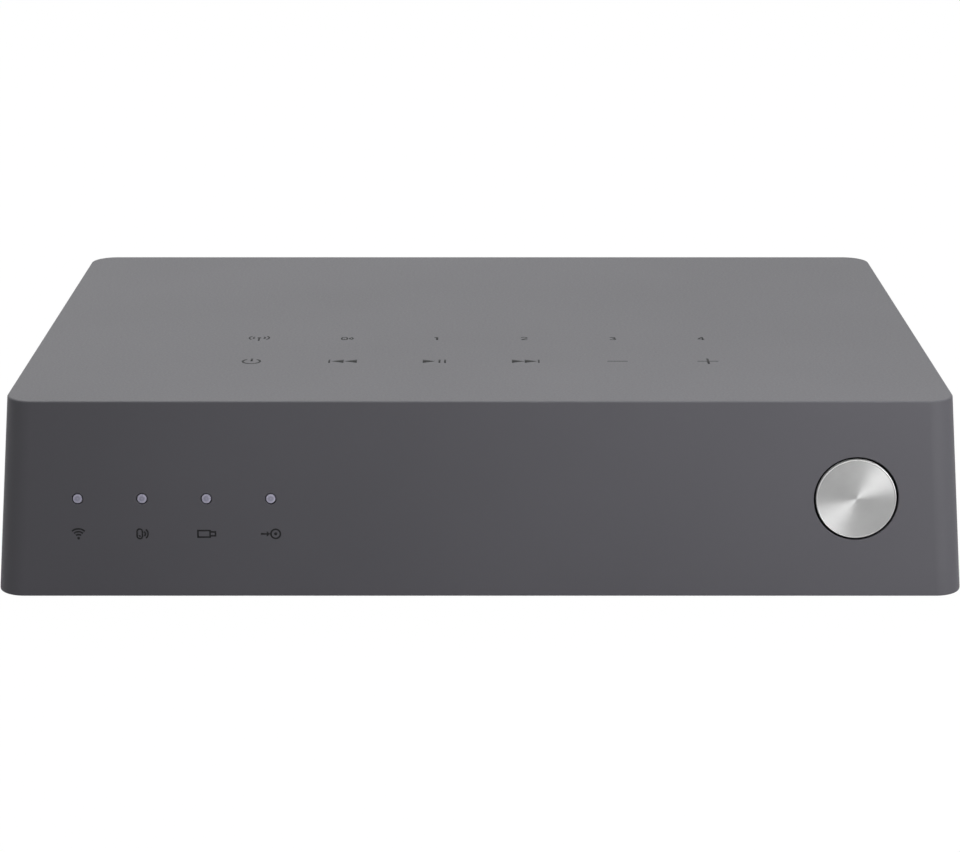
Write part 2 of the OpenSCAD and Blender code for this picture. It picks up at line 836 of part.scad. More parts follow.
module capacitors() {
    color("steelblue") for (i = [0, 1], j = [0, 1])
        translate([capacitor_x + i * capacitor_pitch, main_front_y + capacitor_in + j * capacitor_pitch,
                   main_top_z + seat])
            cylinder(h = capacitor_h, r = capacitor_r);
}

// Rear sockets

module network_shield() {
    color("silver") translate([network_x, 0, main_top_z + seat]) difference() {
        box_between([-network_w / 2, socket_y - network_d, 0], [network_w / 2, socket_y, network_h]);
        box_between([-network_w / 2 + network_wall, socket_y - network_d + network_wall, network_wall],
                    [network_w / 2 - network_wall, body_d, network_h - network_wall]);
    }
}

module network_insert() {
    inner = network_wall + seat;
    latch_w = 6;
    latch_h = 1.6;
    color([0.08, 0.08, 0.08]) difference() {
        translate([network_x, 0, main_top_z + seat])
            box_between([-network_w / 2 + inner, socket_y - network_d + inner, inner],
                        [network_w / 2 - inner, socket_y - insert_recess, network_h - inner]);
        translate([network_x, 0, plug_low_z]) {
            box_between([-plug_w / 2, socket_y - plug_d, 0], [plug_w / 2, body_d, plug_h]);
            box_between([-latch_w / 2, socket_y - plug_d, 0], [latch_w / 2, body_d, plug_h + latch_h]);
        }
    }
}

module network_contacts() {
    color("gold") for (i = [-3.5:1:3.5])
        translate([network_x + i * contact_pitch, socket_y - contact_in, plug_low_z + seat])
            rotate([-contact_tilt, 0, 0])
                box_between([-contact_side / 2, -contact_l, 0], [contact_side / 2, 0, contact_t]);
}

module memory_shell() {
    color("silver") translate([memory_x, 0, main_top_z + seat]) difference() {
        box_between([-memory_w / 2, socket_y - memory_d, 0], [memory_w / 2, socket_y, memory_h]);
        box_between([-memory_w / 2 + memory_wall, socket_y - memory_d + memory_wall, memory_wall],
                    [memory_w / 2 - memory_wall, body_d, memory_h - memory_wall]);
    }
}

module memory_tongue() {
    inner = memory_wall + seat;
    back = socket_y - memory_d + inner;
    tongue_z = memory_h - memory_wall - tongue_gap - tongue_t;
    color("white") translate([memory_x, 0, main_top_z + seat]) {
        box_between([-memory_w / 2 + inner, back, inner], [memory_w / 2 - inner, back + tongue_block, memory_h - inner]);
        box_between([-tongue_w / 2, back + tongue_block - overlap, tongue_z],
                    [tongue_w / 2, back + tongue_block + tongue_l, tongue_z + tongue_t]);
    }
}

module optical_socket() {
    color([0.06, 0.06, 0.06]) translate([optical_x, 0, 0]) {
        difference() {
            box_between([-optical_w / 2, socket_y - optical_d, main_top_z + seat],
                        [optical_w / 2, socket_y, main_top_z + optical_h]);
            box_between([-optical_open_w / 2, socket_y - optical_open_d, optical_open_low_z],
                        [optical_open_w / 2, body_d, optical_open_low_z + optical_open_h]);
            translate([0, hinge_y, hinge_z]) rotate([0, 90, 0])
                cylinder(h = hinge_l + 2 * play, r = hinge_r + play, center = true);
        }
        translate([0, 0, optical_open_low_z + optical_open_h / 2])
            bar_y(fibre_r, socket_y - optical_open_d - overlap, socket_y - optical_open_d + fibre_l);
    }
}

// Flap that closes the optical socket, hung on its own pin
module optical_shutter() {
    flap_w = optical_open_w - 2 * shutter_gap;
    color([0.2, 0.2, 0.2]) translate([optical_x, hinge_y, hinge_z]) {
        rotate([0, 90, 0]) cylinder(h = hinge_l, r = hinge_r, center = true);
        rotate([0, 90, 0]) cylinder(h = flap_w, r = hinge_barrel_r, center = true);
        box_between([-flap_w / 2, -shutter_t / 2, optical_open_low_z + shutter_gap - hinge_z],
                    [flap_w / 2, shutter_t / 2, 0]);
    }
}

module power_socket() {
    color([0.06, 0.06, 0.06]) difference() {
        box_between([power_x - power_w / 2, socket_y - power_d, main_top_z + seat],
                    [power_x + power_w / 2, socket_y, main_top_z + power_h]);
        translate([power_x, 0, power_z]) bar_y(power_bore_r, socket_y - power_bore_d, body_d);
    }
}

module power_pin() {
    floor_y = socket_y - power_bore_d + seat;
    color("silver") translate([power_x, 0, power_z]) bar_y(power_pin_r, floor_y, floor_y + power_pin_l);
}

// Block that carries the two sockets of a line pair
module line_block(x) {
    color([0.06, 0.06, 0.06]) difference() {
        union() {
            box_between([x - line_block_w / 2, panel_in_y - line_block_d, main_top_z + seat],
                        [x + line_block_w / 2, panel_in_y - seat, main_top_z + line_block_h]);
            for (s = [-1, 1]) translate([x + s * line_pitch / 2, 0, line_z])
                bar_y(line_collar_r, panel_in_y - overlap, line_collar_y);
        }
        for (s = [-1, 1]) translate([x + s * line_pitch / 2, 0, line_z])
            bar_y(sleeve_r + play, line_seat_y - seat, body_d);
    }
}

module line_in_block() { line_block(line_in_x); }
module line_out_block() { line_block(line_out_x); }

module line_sleeve(i) {
    color("silver") translate([line_xs[i - 1], 0, line_z]) difference() {
        union() {
            bar_y(sleeve_r, line_seat_y, sleeve_tip_y);
            bar_y(line_flange_r, line_collar_y + seat, line_collar_y + line_flange_t);
        }
        bar_y(sleeve_in_r, 0, body_d);
    }
}

// Insulators of one channel, one in each pair
module line_insulators(first) {
    for (i = [first, first + 2]) translate([line_xs[i], 0, line_z]) difference() {
        bar_y(sleeve_in_r - play, line_seat_y, sleeve_tip_y - insulator_recess);
        bar_y(line_bore_r, 0, body_d);
    }
}

module line_insulators_left() { color("white") line_insulators(0); }
module line_insulators_right() { color("red") line_insulators(1); }

upper_shell();
base_plate();
rear_panel();
for (i = [1:4]) foot(i);
base_screws();
panel_screws();
button_cap();
button_plunger();
button_guide();
switch_stem();
switch_body();
front_board();
front_board_screws();
light_guide();
for (i = [1:light_count]) light_pipe(i);
for (i = [1:light_count]) light(i);
touch_board();
touch_spacer();
touch_electrodes();
touch_ribbon();
main_board();
main_board_screws();
front_ribbon();
ribbon_sockets();
wireless_module();
wireless_shield();
antenna_left();
antenna_right();
antenna_lead_left();
antenna_lead_right();
processor();
converter();
capacitors();
network_shield();
network_insert();
network_contacts();
memory_shell();
memory_tongue();
optical_socket();
optical_shutter();
power_socket();
power_pin();
line_in_block();
line_out_block();
for (i = [1:4]) line_sleeve(i);
line_insulators_left();
line_insulators_right();
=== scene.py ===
"""Looks of a network music streamer, built round its packed construction model, in metres."""

import json
import math

import bmesh
import bpy
import numpy as np
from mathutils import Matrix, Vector

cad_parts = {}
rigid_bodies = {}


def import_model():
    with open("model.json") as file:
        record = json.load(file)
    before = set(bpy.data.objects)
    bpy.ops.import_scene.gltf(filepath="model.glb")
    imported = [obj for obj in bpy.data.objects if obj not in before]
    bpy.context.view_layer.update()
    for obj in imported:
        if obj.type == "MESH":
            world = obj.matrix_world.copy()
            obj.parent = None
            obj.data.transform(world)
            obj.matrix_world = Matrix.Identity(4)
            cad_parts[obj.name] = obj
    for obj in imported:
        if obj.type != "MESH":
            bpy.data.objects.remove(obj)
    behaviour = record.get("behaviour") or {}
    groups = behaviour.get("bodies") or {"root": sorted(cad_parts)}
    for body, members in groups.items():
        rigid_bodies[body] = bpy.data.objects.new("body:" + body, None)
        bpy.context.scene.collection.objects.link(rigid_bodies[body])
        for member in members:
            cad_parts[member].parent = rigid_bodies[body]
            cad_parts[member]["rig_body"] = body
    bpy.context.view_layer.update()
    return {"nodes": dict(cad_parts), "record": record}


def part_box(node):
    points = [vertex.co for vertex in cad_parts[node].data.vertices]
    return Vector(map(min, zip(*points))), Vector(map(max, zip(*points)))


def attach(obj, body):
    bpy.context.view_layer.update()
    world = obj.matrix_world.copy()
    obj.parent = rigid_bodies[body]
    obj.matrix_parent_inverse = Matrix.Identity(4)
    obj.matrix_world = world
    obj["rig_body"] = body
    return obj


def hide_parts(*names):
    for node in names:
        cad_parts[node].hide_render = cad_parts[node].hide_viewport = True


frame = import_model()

NODES = frame["nodes"]

# Case sizes, as in the construction model
mm = 0.001
BODY_W = 200 * mm
BODY_D = 140 * mm
LEAN = 3 * mm
CORNER_R = 7.5 * mm
WALL = 2.2 * mm
TOP_WALL = 2.5 * mm
WINDOW_IN = 14 * mm
WINDOW_LOW = 6 * mm
WINDOW_HIGH = 31.5 * mm
WINDOW_R = 2 * mm
CAP_GAP = 0.5 * mm
LIGHT_COUNT = 4

# Sizes that only the looks have, inside the construction model's box
OUTER_CORNER_R = 5.85 * mm
TOP_EDGE_R = 0.4 * mm
RIM_R = 0.25 * mm
UPRIGHT_H = 0.62 * mm
LENS_R = 0.96 * mm
LENS_GAP = 0.21 * mm
PRINT_T = 0.015 * mm

# Places that follow from the frame
RIM_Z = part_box("upper_shell")[0].z
TOP_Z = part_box("upper_shell")[1].z
BODY_H = TOP_Z - RIM_Z
DRAFT = math.atan2(LEAN, BODY_H)
FACE_FOOT = np.array([0, -BODY_D / 2, RIM_Z])
FACE_UP = np.array([0, math.sin(DRAFT), math.cos(DRAFT)])
FACE_IN = np.array([0, math.cos(DRAFT), -math.sin(DRAFT)])
RIGHT = np.array([1, 0, 0])
BACK = np.array([0, 1, 0])
UP = np.array([0, 0, 1])


def lean_at(height):
    """How far a wall has leaned in at a height above the rim."""
    return LEAN * height / BODY_H


def outer_lean(height):
    """Lean of the outer wall, which stands upright at its foot to stay inside the model's box."""
    return lean_at(np.maximum(height, UPRIGHT_H))


def node_middle(name):
    """Middle of a node's box."""
    low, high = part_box(name)
    return np.array((low + high) / 2)


def on_face(x, up):
    """Point of the leaning front at x across and up the face from the rim."""
    return FACE_FOOT + x * RIGHT + up * FACE_UP


def up_face(point):
    """How far up the leaning front a point lies."""
    return float((point - FACE_FOOT) @ FACE_UP)


PIPES = [f"light_pipe_{number}" for number in range(1, LIGHT_COUNT + 1)]
ROW_UP = up_face(node_middle("button_cap"))
LIGHT_XS = [float(node_middle(name)[0]) for name in PIPES]


# Surfaces worked out as grids

MERGE_REACH = 1e-7
SLIVER_REACH = 1e-8
MOST_CORNERS = 4
FACE_WEIGHT = 100
SOFT_ANGLE = math.radians(35)
SOFT_SEGMENTS = 2


def grid_faces(rows, columns, wrap_rows=False, wrap_columns=False):
    """Corner numbers of the quads of a grid whose points are numbered row by row."""
    row = np.arange(rows if wrap_rows else rows - 1)
    column = np.arange(columns if wrap_columns else columns - 1)
    a, b = np.meshgrid(row, column, indexing="ij")
    next_a = (a + 1) % rows
    next_b = (b + 1) % columns
    corners = [a * columns + b, next_a * columns + b, next_a * columns + next_b, a * columns + next_b]
    return np.stack(corners, axis=-1).reshape(-1, 4)


def arc(centre, radius, start, end, steps):
    """Points of a plane arc: centre plus radius times the cosine and sine of an evenly stepped angle."""
    angle = np.radians(np.linspace(start, end, steps))
    return np.array(centre) + radius * np.stack([np.cos(angle), np.sin(angle)], axis=1)


def turned(profile, centre, axis, steps=96):
    """Grid of a profile of (radius, way along the axis) pairs carried once round the axis.

    Each point is the centre, plus its way along the axis, plus its radius times a unit vector that turns
    with the angle. The last row lies on the first, so that the map of turn and profile has a clean seam.
    """
    profile = np.asarray(profile, float)
    along = Vector(axis).normalized()
    first = along.orthogonal().normalized()
    second = along.cross(first)
    angle = np.linspace(0, 2 * np.pi, steps + 1)[:, None]
    ring = np.cos(angle) * np.array(first) + np.sin(angle) * np.array(second)
    way = np.array(along) * profile[None, :, 1:]
    return np.asarray(centre, float) + ring[:, None, :] * profile[None, :, :1] + way


def swept_bar(path, width, low, high):
    """Flat bar along a plane path: at each point the path is set off by half the width to both sides.

    Its four edges run at the two heights low and high, so a grid row holds four points.
    """
    path = np.asarray(path, float)
    step = np.gradient(path, axis=0)
    normal = np.stack([-step[:, 1], step[:, 0]], axis=1)
    normal /= np.linalg.norm(normal, axis=1, keepdims=True)
    left = path + normal * width / 2
    right = path - normal * width / 2
    rim = [(left, low), (right, low), (right, high), (left, high)]
    rows = [np.column_stack([side, np.full(len(side), height)]) for side, height in rim]
    return np.stack(rows, axis=1)


def plate(outline, low, high):
    """Flat plate with a convex outline between two heights, as a grid with one row for each corner."""
    outline = np.asarray(outline, float)
    return np.stack([np.column_stack([outline, np.full(len(outline), h)]) for h in (low, high)], axis=1)


class Shape:
    """Points and faces gathered from several grids before they become one mesh."""

    def __init__(self):
        self.points = []
        self.faces = []
        self.maps = []
        self.count = 0

    def grid(self, points, wrap_rows=False, wrap_columns=False, cap_rows=False, cap_columns=False):
        """Adds a grid, with a face over its first and last row or column where a cap is asked for."""
        rows, columns = points.shape[:2]
        faces = grid_faces(rows, columns, wrap_rows, wrap_columns).tolist()
        number = np.arange(rows * columns).reshape(rows, columns)
        if cap_rows:
            faces += [number[0].tolist(), number[-1, ::-1].tolist()]
        if cap_columns:
            faces += [number[::-1, 0].tolist(), number[:, -1].tolist()]
        across, along = np.meshgrid(np.linspace(0, 1, rows), np.linspace(0, 1, columns), indexing="ij")
        self.faces += [[corner + self.count for corner in face] for face in faces]
        self.points.append(points.reshape(-1, 3))
        self.maps.append(np.stack([across, along], axis=-1).reshape(-1, 2))
        self.count += rows * columns
        return self

    def placed(self, origin, right, ahead, up):
        """The same shape with its own x, y and height along three directions from an origin."""
        base = np.stack([right, ahead, up])
        self.points = [points @ base + np.asarray(origin) for points in self.points]
        return self

    def join(self, other):
        """Adds the grids of another shape."""
        self.points += other.points
        self.maps += other.maps
        self.faces += [[corner + self.count for corner in face] for face in other.faces]
        self.count += other.count

    def mesh(self, name):
        """Mesh of all the grids, with its doubles merged and its faces turned outwards."""
        mesh = bpy.data.meshes.new(name)
        mesh.from_pydata(np.concatenate(self.points).tolist(), [], self.faces)
        corner = np.zeros(len(mesh.loops), np.int32)
        mesh.loops.foreach_get("vertex_index", corner)
        turn = mesh.uv_layers.new(name="turn")
        turn.data.foreach_set("uv", np.concatenate(self.maps)[corner].astype(np.float32).ravel())
        tidy_mesh(mesh)
        return mesh


def tidy_mesh(mesh, flat_angle=None):
    """Merges doubles and turns the faces outwards.

    Where an angle is given, flat neighbours are joined first, and joined faces with many corners are split
    again, so that a rim round an opening keeps its opening.
    """
    work = bmesh.new()
    work.from_mesh(mesh)
    bmesh.ops.remove_doubles(work, verts=work.verts, dist=MERGE_REACH)
    bmesh.ops.dissolve_degenerate(work, edges=work.edges, dist=SLIVER_REACH)
    if flat_angle is not None:
        bmesh.ops.dissolve_limit(work, angle_limit=flat_angle, verts=work.verts, edges=work.edges)
        joined = [face for face in work.faces if len(face.verts) > MOST_CORNERS]
        bmesh.ops.triangulate(work, faces=joined)
    bmesh.ops.recalc_face_normals(work, faces=work.faces)
    for face in work.faces:
        face.smooth = True
    work.to_mesh(mesh)
    work.free()


def show(name, mesh, material, body="case", replaces=()):
    """Object of a mesh at the origin, with its finish, its body and the nodes that it stands for."""
    piece = bpy.data.objects.new(name, mesh)
    bpy.context.scene.collection.objects.link(piece)
    mesh.materials.clear()
    mesh.materials.append(material)
    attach(piece, body)
    if replaces:
        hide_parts(*replaces)
    return piece


def even_shading(piece):
    """Shades wide faces flat and lets the narrow rounds between them carry the turn."""
    weighted = piece.modifiers.new("even_shading", "WEIGHTED_NORMAL")
    weighted.mode = "FACE_AREA"
    weighted.weight = FACE_WEIGHT
    weighted.keep_sharp = True


def soft_edges(piece, width):
    """Rounds the sharp edges of a piece and evens its shading."""
    bevel = piece.modifiers.new("soft_edges", "BEVEL")
    bevel.width = width
    bevel.segments = SOFT_SEGMENTS
    bevel.limit_method = "ANGLE"
    bevel.angle_limit = SOFT_ANGLE
    bevel.use_clamp_overlap = True
    bevel.miter_outer = "MITER_ARC"
    even_shading(piece)


def carve(mesh, cutter):
    """Cuts one mesh out of another."""
    body = bpy.data.objects.new("carved", mesh)
    tool = bpy.data.objects.new("cutter", cutter)
    for item in (body, tool):
        bpy.context.scene.collection.objects.link(item)
    cut = body.modifiers.new("cut", "BOOLEAN")
    cut.operation = "DIFFERENCE"
    cut.solver = "EXACT"
    cut.object = tool
    bpy.context.view_layer.update()
    graph = bpy.context.evaluated_depsgraph_get()
    carved = bpy.data.meshes.new_from_object(body.evaluated_get(graph))
    for item in (body, tool):
        bpy.data.objects.remove(item)
    return carved


# Finishes


class Finish:
    """A material with short ways to add nodes and join them."""

    def __init__(self, name):
        self.material = bpy.data.materials.new(name)
        self.material.use_nodes = True
        self.tree = self.material.node_tree
        self.shader = self.tree.nodes["Principled BSDF"]
        self.place = self.add("TexCoord").outputs["Object"]

    def add(self, kind, settings=None, **inputs):
        """New node of a kind, with its settings, and its inputs set or joined by name."""
        node = self.tree.nodes.new("ShaderNode" + kind)
        for key, value in (settings or {}).items():
            setattr(node, key, value)
        for key, value in inputs.items():
            self.feed(node.inputs[key.replace("_", " ")], value)
        return node

    def feed(self, socket, value):
        """Joins an output to a socket, or sets the socket's own value."""
        if isinstance(value, bpy.types.NodeSocket):
            self.tree.links.new(value, socket)
        else:
            socket.default_value = value

    def set(self, **values):
        """Sets or joins the shader's sockets by name."""
        for key, value in values.items():
            self.feed(self.shader.inputs[key.replace("_", " ")], value)
        return self

    def noise(self, size, detail=2.0, place=None, stretch=None):
        """Noise whose spots have about the given size, drawn out along an axis by a stretch."""
        place = self.place if place is None else place
        if stretch is not None:
            place = self.add("Mapping", Vector=place, Scale=stretch).outputs["Vector"]
        node = self.add("TexNoise", Vector=place, Scale=1 / size, Detail=detail)
        return node.outputs["Fac"]

    def spread(self, value, low, high, start=0.3, end=0.7):
        """A value's range from start to end mapped to the range from low to high."""
        node = self.add("MapRange", Value=value, From_Min=start, From_Max=end, To_Min=low, To_Max=high)
        return node.outputs["Result"]

    def ramp(self, value, stops):
        """Colours along a value, given as (place, colour) stops."""
        node = self.add("ValToRGB", Fac=value)
        while len(node.color_ramp.elements) < len(stops):
            node.color_ramp.elements.new(1.0)
        for element, (place, colour) in zip(node.color_ramp.elements, stops):
            element.position = place
            element.color = (*colour, 1.0)
        return node.outputs["Color"]

    def sum(self, first, second, operation="ADD"):
        """Two values added, or joined by another operation."""
        node = self.add("Math", {"operation": operation})
        self.feed(node.inputs[0], first)
        self.feed(node.inputs[1], second)
        return node.outputs["Value"]

    def relief(self, height, depth):
        """Surface relief of a height from 0 to 1, at its real depth."""
        bump = self.add("Bump", Height=height, Strength=1.0, Distance=depth)
        return self.set(Normal=bump.outputs["Normal"])


def shade(colour, factor):
    """A colour made lighter or darker."""
    return tuple(min(1.0, part * factor) for part in colour)


def moulded(name, colour, roughness, grain=0.2 * mm, depth=0.004 * mm, specular=0.4):
    """Moulded plastic: fine pitted grain, a little uneven in tone and gloss, with faint flow marks."""
    darker = shade(colour, 0.94)
    lighter = shade(colour, 1.06)
    finish = Finish(name)
    fine = finish.noise(grain, 3.0)
    cloud = finish.noise(60 * grain, 3.0)
    flow = finish.noise(12 * grain, 2.0, stretch=(0.25, 1.0, 1.0))
    tone = finish.sum(finish.sum(cloud, flow), 0.5, "MULTIPLY")
    finish.set(
        Base_Color=finish.ramp(tone, [(0.35, darker), (0.65, lighter)]),
        Roughness=finish.spread(finish.sum(fine, cloud), roughness - 0.06, roughness + 0.06, 0.8, 1.2),
        Specular_IOR_Level=specular)
    return finish.relief(fine, depth).material


def plated(name, colour, roughness, stretch=(1.0, 0.06, 1.0)):
    """Plated metal: fine drawn lines, cloudy in gloss, slightly dulled in patches."""
    scratch = 0.5 * mm
    depth = 0.0001 * mm
    finish = Finish(name)
    lines = finish.noise(scratch, 3.0, stretch=stretch)
    cloud = finish.noise(8 * scratch, 3.0)
    finish.set(
        Base_Color=finish.ramp(cloud, [(0.3, shade(colour, 0.93)), (0.7, shade(colour, 1.04))]),
        Metallic=1.0,
        Roughness=finish.spread(finish.sum(lines, cloud), roughness - 0.04, roughness + 0.06, 0.7, 1.3))
    return finish.relief(lines, depth).material


def laminate(name, mask, copper):
    """Printed board: copper lines and round pads under a glossy mask that is thin over the copper."""
    finish = Finish(name)
    bricks = finish.add("TexBrick", {"offset": 0.37, "squash": 0.6, "squash_frequency": 3},
                        Vector=finish.place, Scale=1.0, Mortar_Size=0.35 * mm, Mortar_Smooth=0.1,
                        Brick_Width=11 * mm, Row_Height=1.7 * mm)
    dots = finish.add("TexVoronoi", {"feature": "F1"}, Vector=finish.place, Scale=1 / (3.4 * mm))
    pads = finish.spread(dots.outputs["Distance"], 1.0, 0.0, 0.16, 0.2)
    weave = finish.noise(0.4 * mm, 2.0)
    lines = finish.sum(bricks.outputs["Fac"], 0.55, "MULTIPLY")
    raised = finish.sum(lines, pads, "MAXIMUM")
    finish.set(
        Base_Color=finish.ramp(raised, [(0.0, mask), (0.5, shade(mask, 1.9)), (0.95, copper)]),
        Roughness=finish.spread(weave, 0.28, 0.42),
        Coat_Weight=0.3)
    height = finish.sum(raised, finish.sum(weave, 0.1, "MULTIPLY"))
    return finish.relief(height, 0.02 * mm).material


def case_paint():
    """Soft matt paint of the case: mid grey, barely cool, with a velvety grain far finer than the marks."""
    colour = (0.0960, 0.0936, 0.1058)
    finish = Finish("case_paint")
    fine = finish.noise(0.11 * mm, 3.0)
    coarse = finish.noise(0.5 * mm, 2.0)
    cloud = finish.noise(40 * mm, 2.0)
    tone = finish.sum(finish.sum(cloud, finish.sum(coarse, 0.35, "MULTIPLY")), 0.74, "MULTIPLY")
    finish.set(
        Base_Color=finish.ramp(tone, [(0.3, shade(colour, 0.965)), (0.7, shade(colour, 1.035))]),
        Roughness=finish.spread(finish.sum(fine, coarse), 0.52, 0.64, 0.8, 1.2),
        Specular_IOR_Level=0.22)
    return finish.relief(fine, 0.0035 * mm).material


def spun_metal():
    """Lathe-turned aluminium: uneven rings, gloss drawn out across them, and a painted highlight on the
    bevel.
    """
    colour = (0.365, 0.365, 0.365)
    painted_edge_highlight = (0.52, 0.52, 0.52)
    finish = Finish("spun_metal")
    turn = finish.add("UVMap", {"uv_map": "turn"}).outputs["UV"]
    rings = finish.noise(1 / 420, 2.0, place=turn, stretch=(0.004, 1.0, 1.0))
    wide_rings = finish.noise(1 / 60, 2.0, place=turn, stretch=(0.01, 1.0, 1.0))
    cloud = finish.noise(3 * mm, 2.0)
    depth = finish.sum(rings, finish.sum(wide_rings, 0.4, "MULTIPLY"))
    tone = finish.sum(finish.sum(rings, cloud), 0.5, "MULTIPLY")
    way = finish.add("SeparateXYZ", Vector=turn).outputs["Y"]
    # The bevel's band is given a lighter base colour: a painted highlight round the disc's edge.
    edge = finish.spread(way, 0.0, 1.0, 0.78, 0.8)
    stops = [(0.3, shade(colour, 0.94)), (0.7, shade(colour, 1.05)), (0.95, painted_edge_highlight)]
    tangent = finish.add("Tangent", {"direction_type": "UV_MAP", "uv_map": "turn"}).outputs["Tangent"]
    finish.set(
        Base_Color=finish.ramp(finish.sum(tone, edge, "MAXIMUM"), stops),
        Metallic=1.0,
        Roughness=0.46,
        Anisotropic=0.9,
        Anisotropic_Rotation=0.25,
        Tangent=tangent)
    return finish.relief(depth, 0.004 * mm).material


def milky_lens():
    """Milky light window: pale and cool at its rim and in its very middle, darker in between."""
    finish = Finish("milky_lens")
    turn = finish.add("UVMap", {"uv_map": "turn"}).outputs["UV"]
    way = finish.add("SeparateXYZ", Vector=turn).outputs["Y"]
    haze = finish.noise(0.12 * mm, 2.0)
    tone = finish.sum(way, finish.sum(haze, 0.06, "MULTIPLY"))
    dark = (0.285, 0.275, 0.36)
    pale = (0.47, 0.455, 0.575)
    dulled = shade(pale, 0.9)
    stops = [(0.03, dulled), (0.2, dark), (0.28, dark), (0.48, pale), (0.62, dulled)]
    finish.set(
        Base_Color=finish.ramp(tone, stops),
        Roughness=finish.spread(haze, 0.28, 0.4),
        Subsurface_Weight=0.15,
        Subsurface_Radius=(0.6 * mm, 0.6 * mm, 0.6 * mm),
        Subsurface_Scale=1.0)
    return finish.relief(haze, 0.002 * mm).material


def dark_ink():
    """Screen-printed ink: near black, matt, with slightly uneven cover."""
    full = (0.010, 0.010, 0.011)
    thin = (0.019, 0.019, 0.021)
    finish = Finish("dark_ink")
    cover = finish.noise(0.09 * mm, 3.0)
    finish.set(
        Base_Color=finish.ramp(cover, [(0.3, full), (0.75, thin)]),
        Roughness=finish.spread(cover, 0.6, 0.8),
        Specular_IOR_Level=0.15)
    return finish.relief(cover, 0.003 * mm).material


def foot_rubber():
    """Moulded rubber: dull, dusty in patches, with a close pebbled grain."""
    clean = (0.016, 0.016, 0.016)
    dusty = (0.045, 0.044, 0.043)
    finish = Finish("foot_rubber")
    pebble = finish.add("TexVoronoi", {"feature": "F1"}, Vector=finish.place, Scale=1 / (0.35 * mm))
    dust = finish.noise(2.5 * mm, 4.0)
    finish.set(
        Base_Color=finish.ramp(dust, [(0.35, clean), (0.75, dusty)]),
        Roughness=finish.spread(dust, 0.78, 0.95),
        Specular_IOR_Level=0.25)
    return finish.relief(pebble.outputs["Distance"], 0.015 * mm).material


def flat_film():
    """Flat ribbon: pale film over a row of fine conductors, a little hazy."""
    film = (0.74, 0.73, 0.69)
    conductor = (0.56, 0.57, 0.58)
    finish = Finish("flat_film")
    wave = finish.add("TexWave", {"wave_type": "BANDS", "bands_direction": "X"},
                      Vector=finish.place, Scale=1 / (3.2 * mm), Distortion=0.0)
    haze = finish.noise(1.5 * mm, 2.0)
    tone = finish.sum(wave.outputs["Fac"], finish.sum(haze, 0.25, "MULTIPLY"))
    finish.set(
        Base_Color=finish.ramp(tone, [(0.2, film), (0.9, conductor)]),
        Roughness=finish.spread(haze, 0.3, 0.45))
    return finish.relief(wave.outputs["Fac"], 0.03 * mm).material


def sleeved_can():
    """Capacitor sleeve: blue shrink film with a pale stripe and a little orange-peel relief."""
    blue = (0.02, 0.05, 0.16)
    lighter_blue = (0.025, 0.06, 0.18)
    stripe = (0.6, 0.62, 0.66)
    saw = {"wave_type": "BANDS", "bands_direction": "Y", "wave_profile": "SAW"}
    finish = Finish("sleeved_can")
    peel = finish.noise(0.6 * mm, 2.0)
    stripes = finish.add("TexWave", saw, Vector=finish.place, Scale=1 / (34.5 * mm), Distortion=0.0)
    film = finish.sum(stripes.outputs["Fac"], finish.sum(peel, 0.02, "MULTIPLY"))
    finish.set(
        Base_Color=finish.ramp(film, [(0.0, blue), (0.8, lighter_blue), (0.82, stripe)]),
        Roughness=finish.spread(peel, 0.25, 0.4))
    return finish.relief(peel, 0.01 * mm).material


def lamp_package():
    """Light's package: white moulding with yellowish filling in patches."""
    filling = (0.72, 0.6, 0.25)
    white = (0.8, 0.79, 0.74)
    finish = Finish("lamp_package")
    haze = finish.noise(0.3 * mm, 2.0)
    finish.set(
        Base_Color=finish.ramp(haze, [(0.35, filling), (0.6, white)]),
        Roughness=finish.spread(haze, 0.2, 0.4))
    return finish.relief(haze, 0.01 * mm).material


ALL_WAYS = (1.0, 1.0, 1.0)
FINISHES = {
    "shell": case_paint(),
    "base": moulded("base_plastic", (0.032, 0.032, 0.034), 0.62, grain=0.32 * mm, depth=0.012 * mm),
    "panel": moulded("panel_plastic", (0.020, 0.020, 0.021), 0.55, grain=0.25 * mm, depth=0.008 * mm),
    "rubber": foot_rubber(),
    "black_screw": plated("black_zinc", (0.055, 0.055, 0.058), 0.38, stretch=ALL_WAYS),
    "bright_screw": plated("bright_zinc", (0.56, 0.56, 0.55), 0.3, stretch=ALL_WAYS),
    "cap_metal": spun_metal(),
    "black_plastic": moulded("black_plastic", (0.014, 0.014, 0.015), 0.42, grain=0.16 * mm, depth=0.003 * mm),
    "switch_stem": moulded("stem_plastic", (0.7, 0.67, 0.6), 0.45),
    "lens": milky_lens(),
    "light": lamp_package(),
    "board": laminate("board_laminate", (0.012, 0.06, 0.026), (0.62, 0.45, 0.2)),
    "foam": moulded("foam_tape", (0.2, 0.2, 0.2), 0.92, grain=0.5 * mm, depth=0.08 * mm, specular=0.1),
    "copper": plated("copper_foil", (0.72, 0.4, 0.25), 0.34),
    "ribbon": flat_film(),
    "module": laminate("module_laminate", (0.012, 0.02, 0.085), (0.66, 0.5, 0.22)),
    "tinplate": plated("tin_plate", (0.58, 0.58, 0.56), 0.28),
    "lead": moulded("lead_jacket", (0.04, 0.04, 0.042), 0.5, grain=0.3 * mm),
    "chip": moulded("chip_resin", (0.02, 0.02, 0.021), 0.5, grain=0.12 * mm, depth=0.006 * mm),
    "can": sleeved_can(),
    "gold": plated("gold_plate", (0.82, 0.6, 0.24), 0.22),
    "nickel": plated("nickel_plate", (0.64, 0.62, 0.58), 0.2, stretch=ALL_WAYS),
    "white_plastic": moulded("white_plastic", (0.76, 0.76, 0.74), 0.4, depth=0.002 * mm),
    "red_plastic": moulded("red_plastic", (0.5, 0.018, 0.02), 0.4, depth=0.002 * mm),
}
INK = dark_ink()


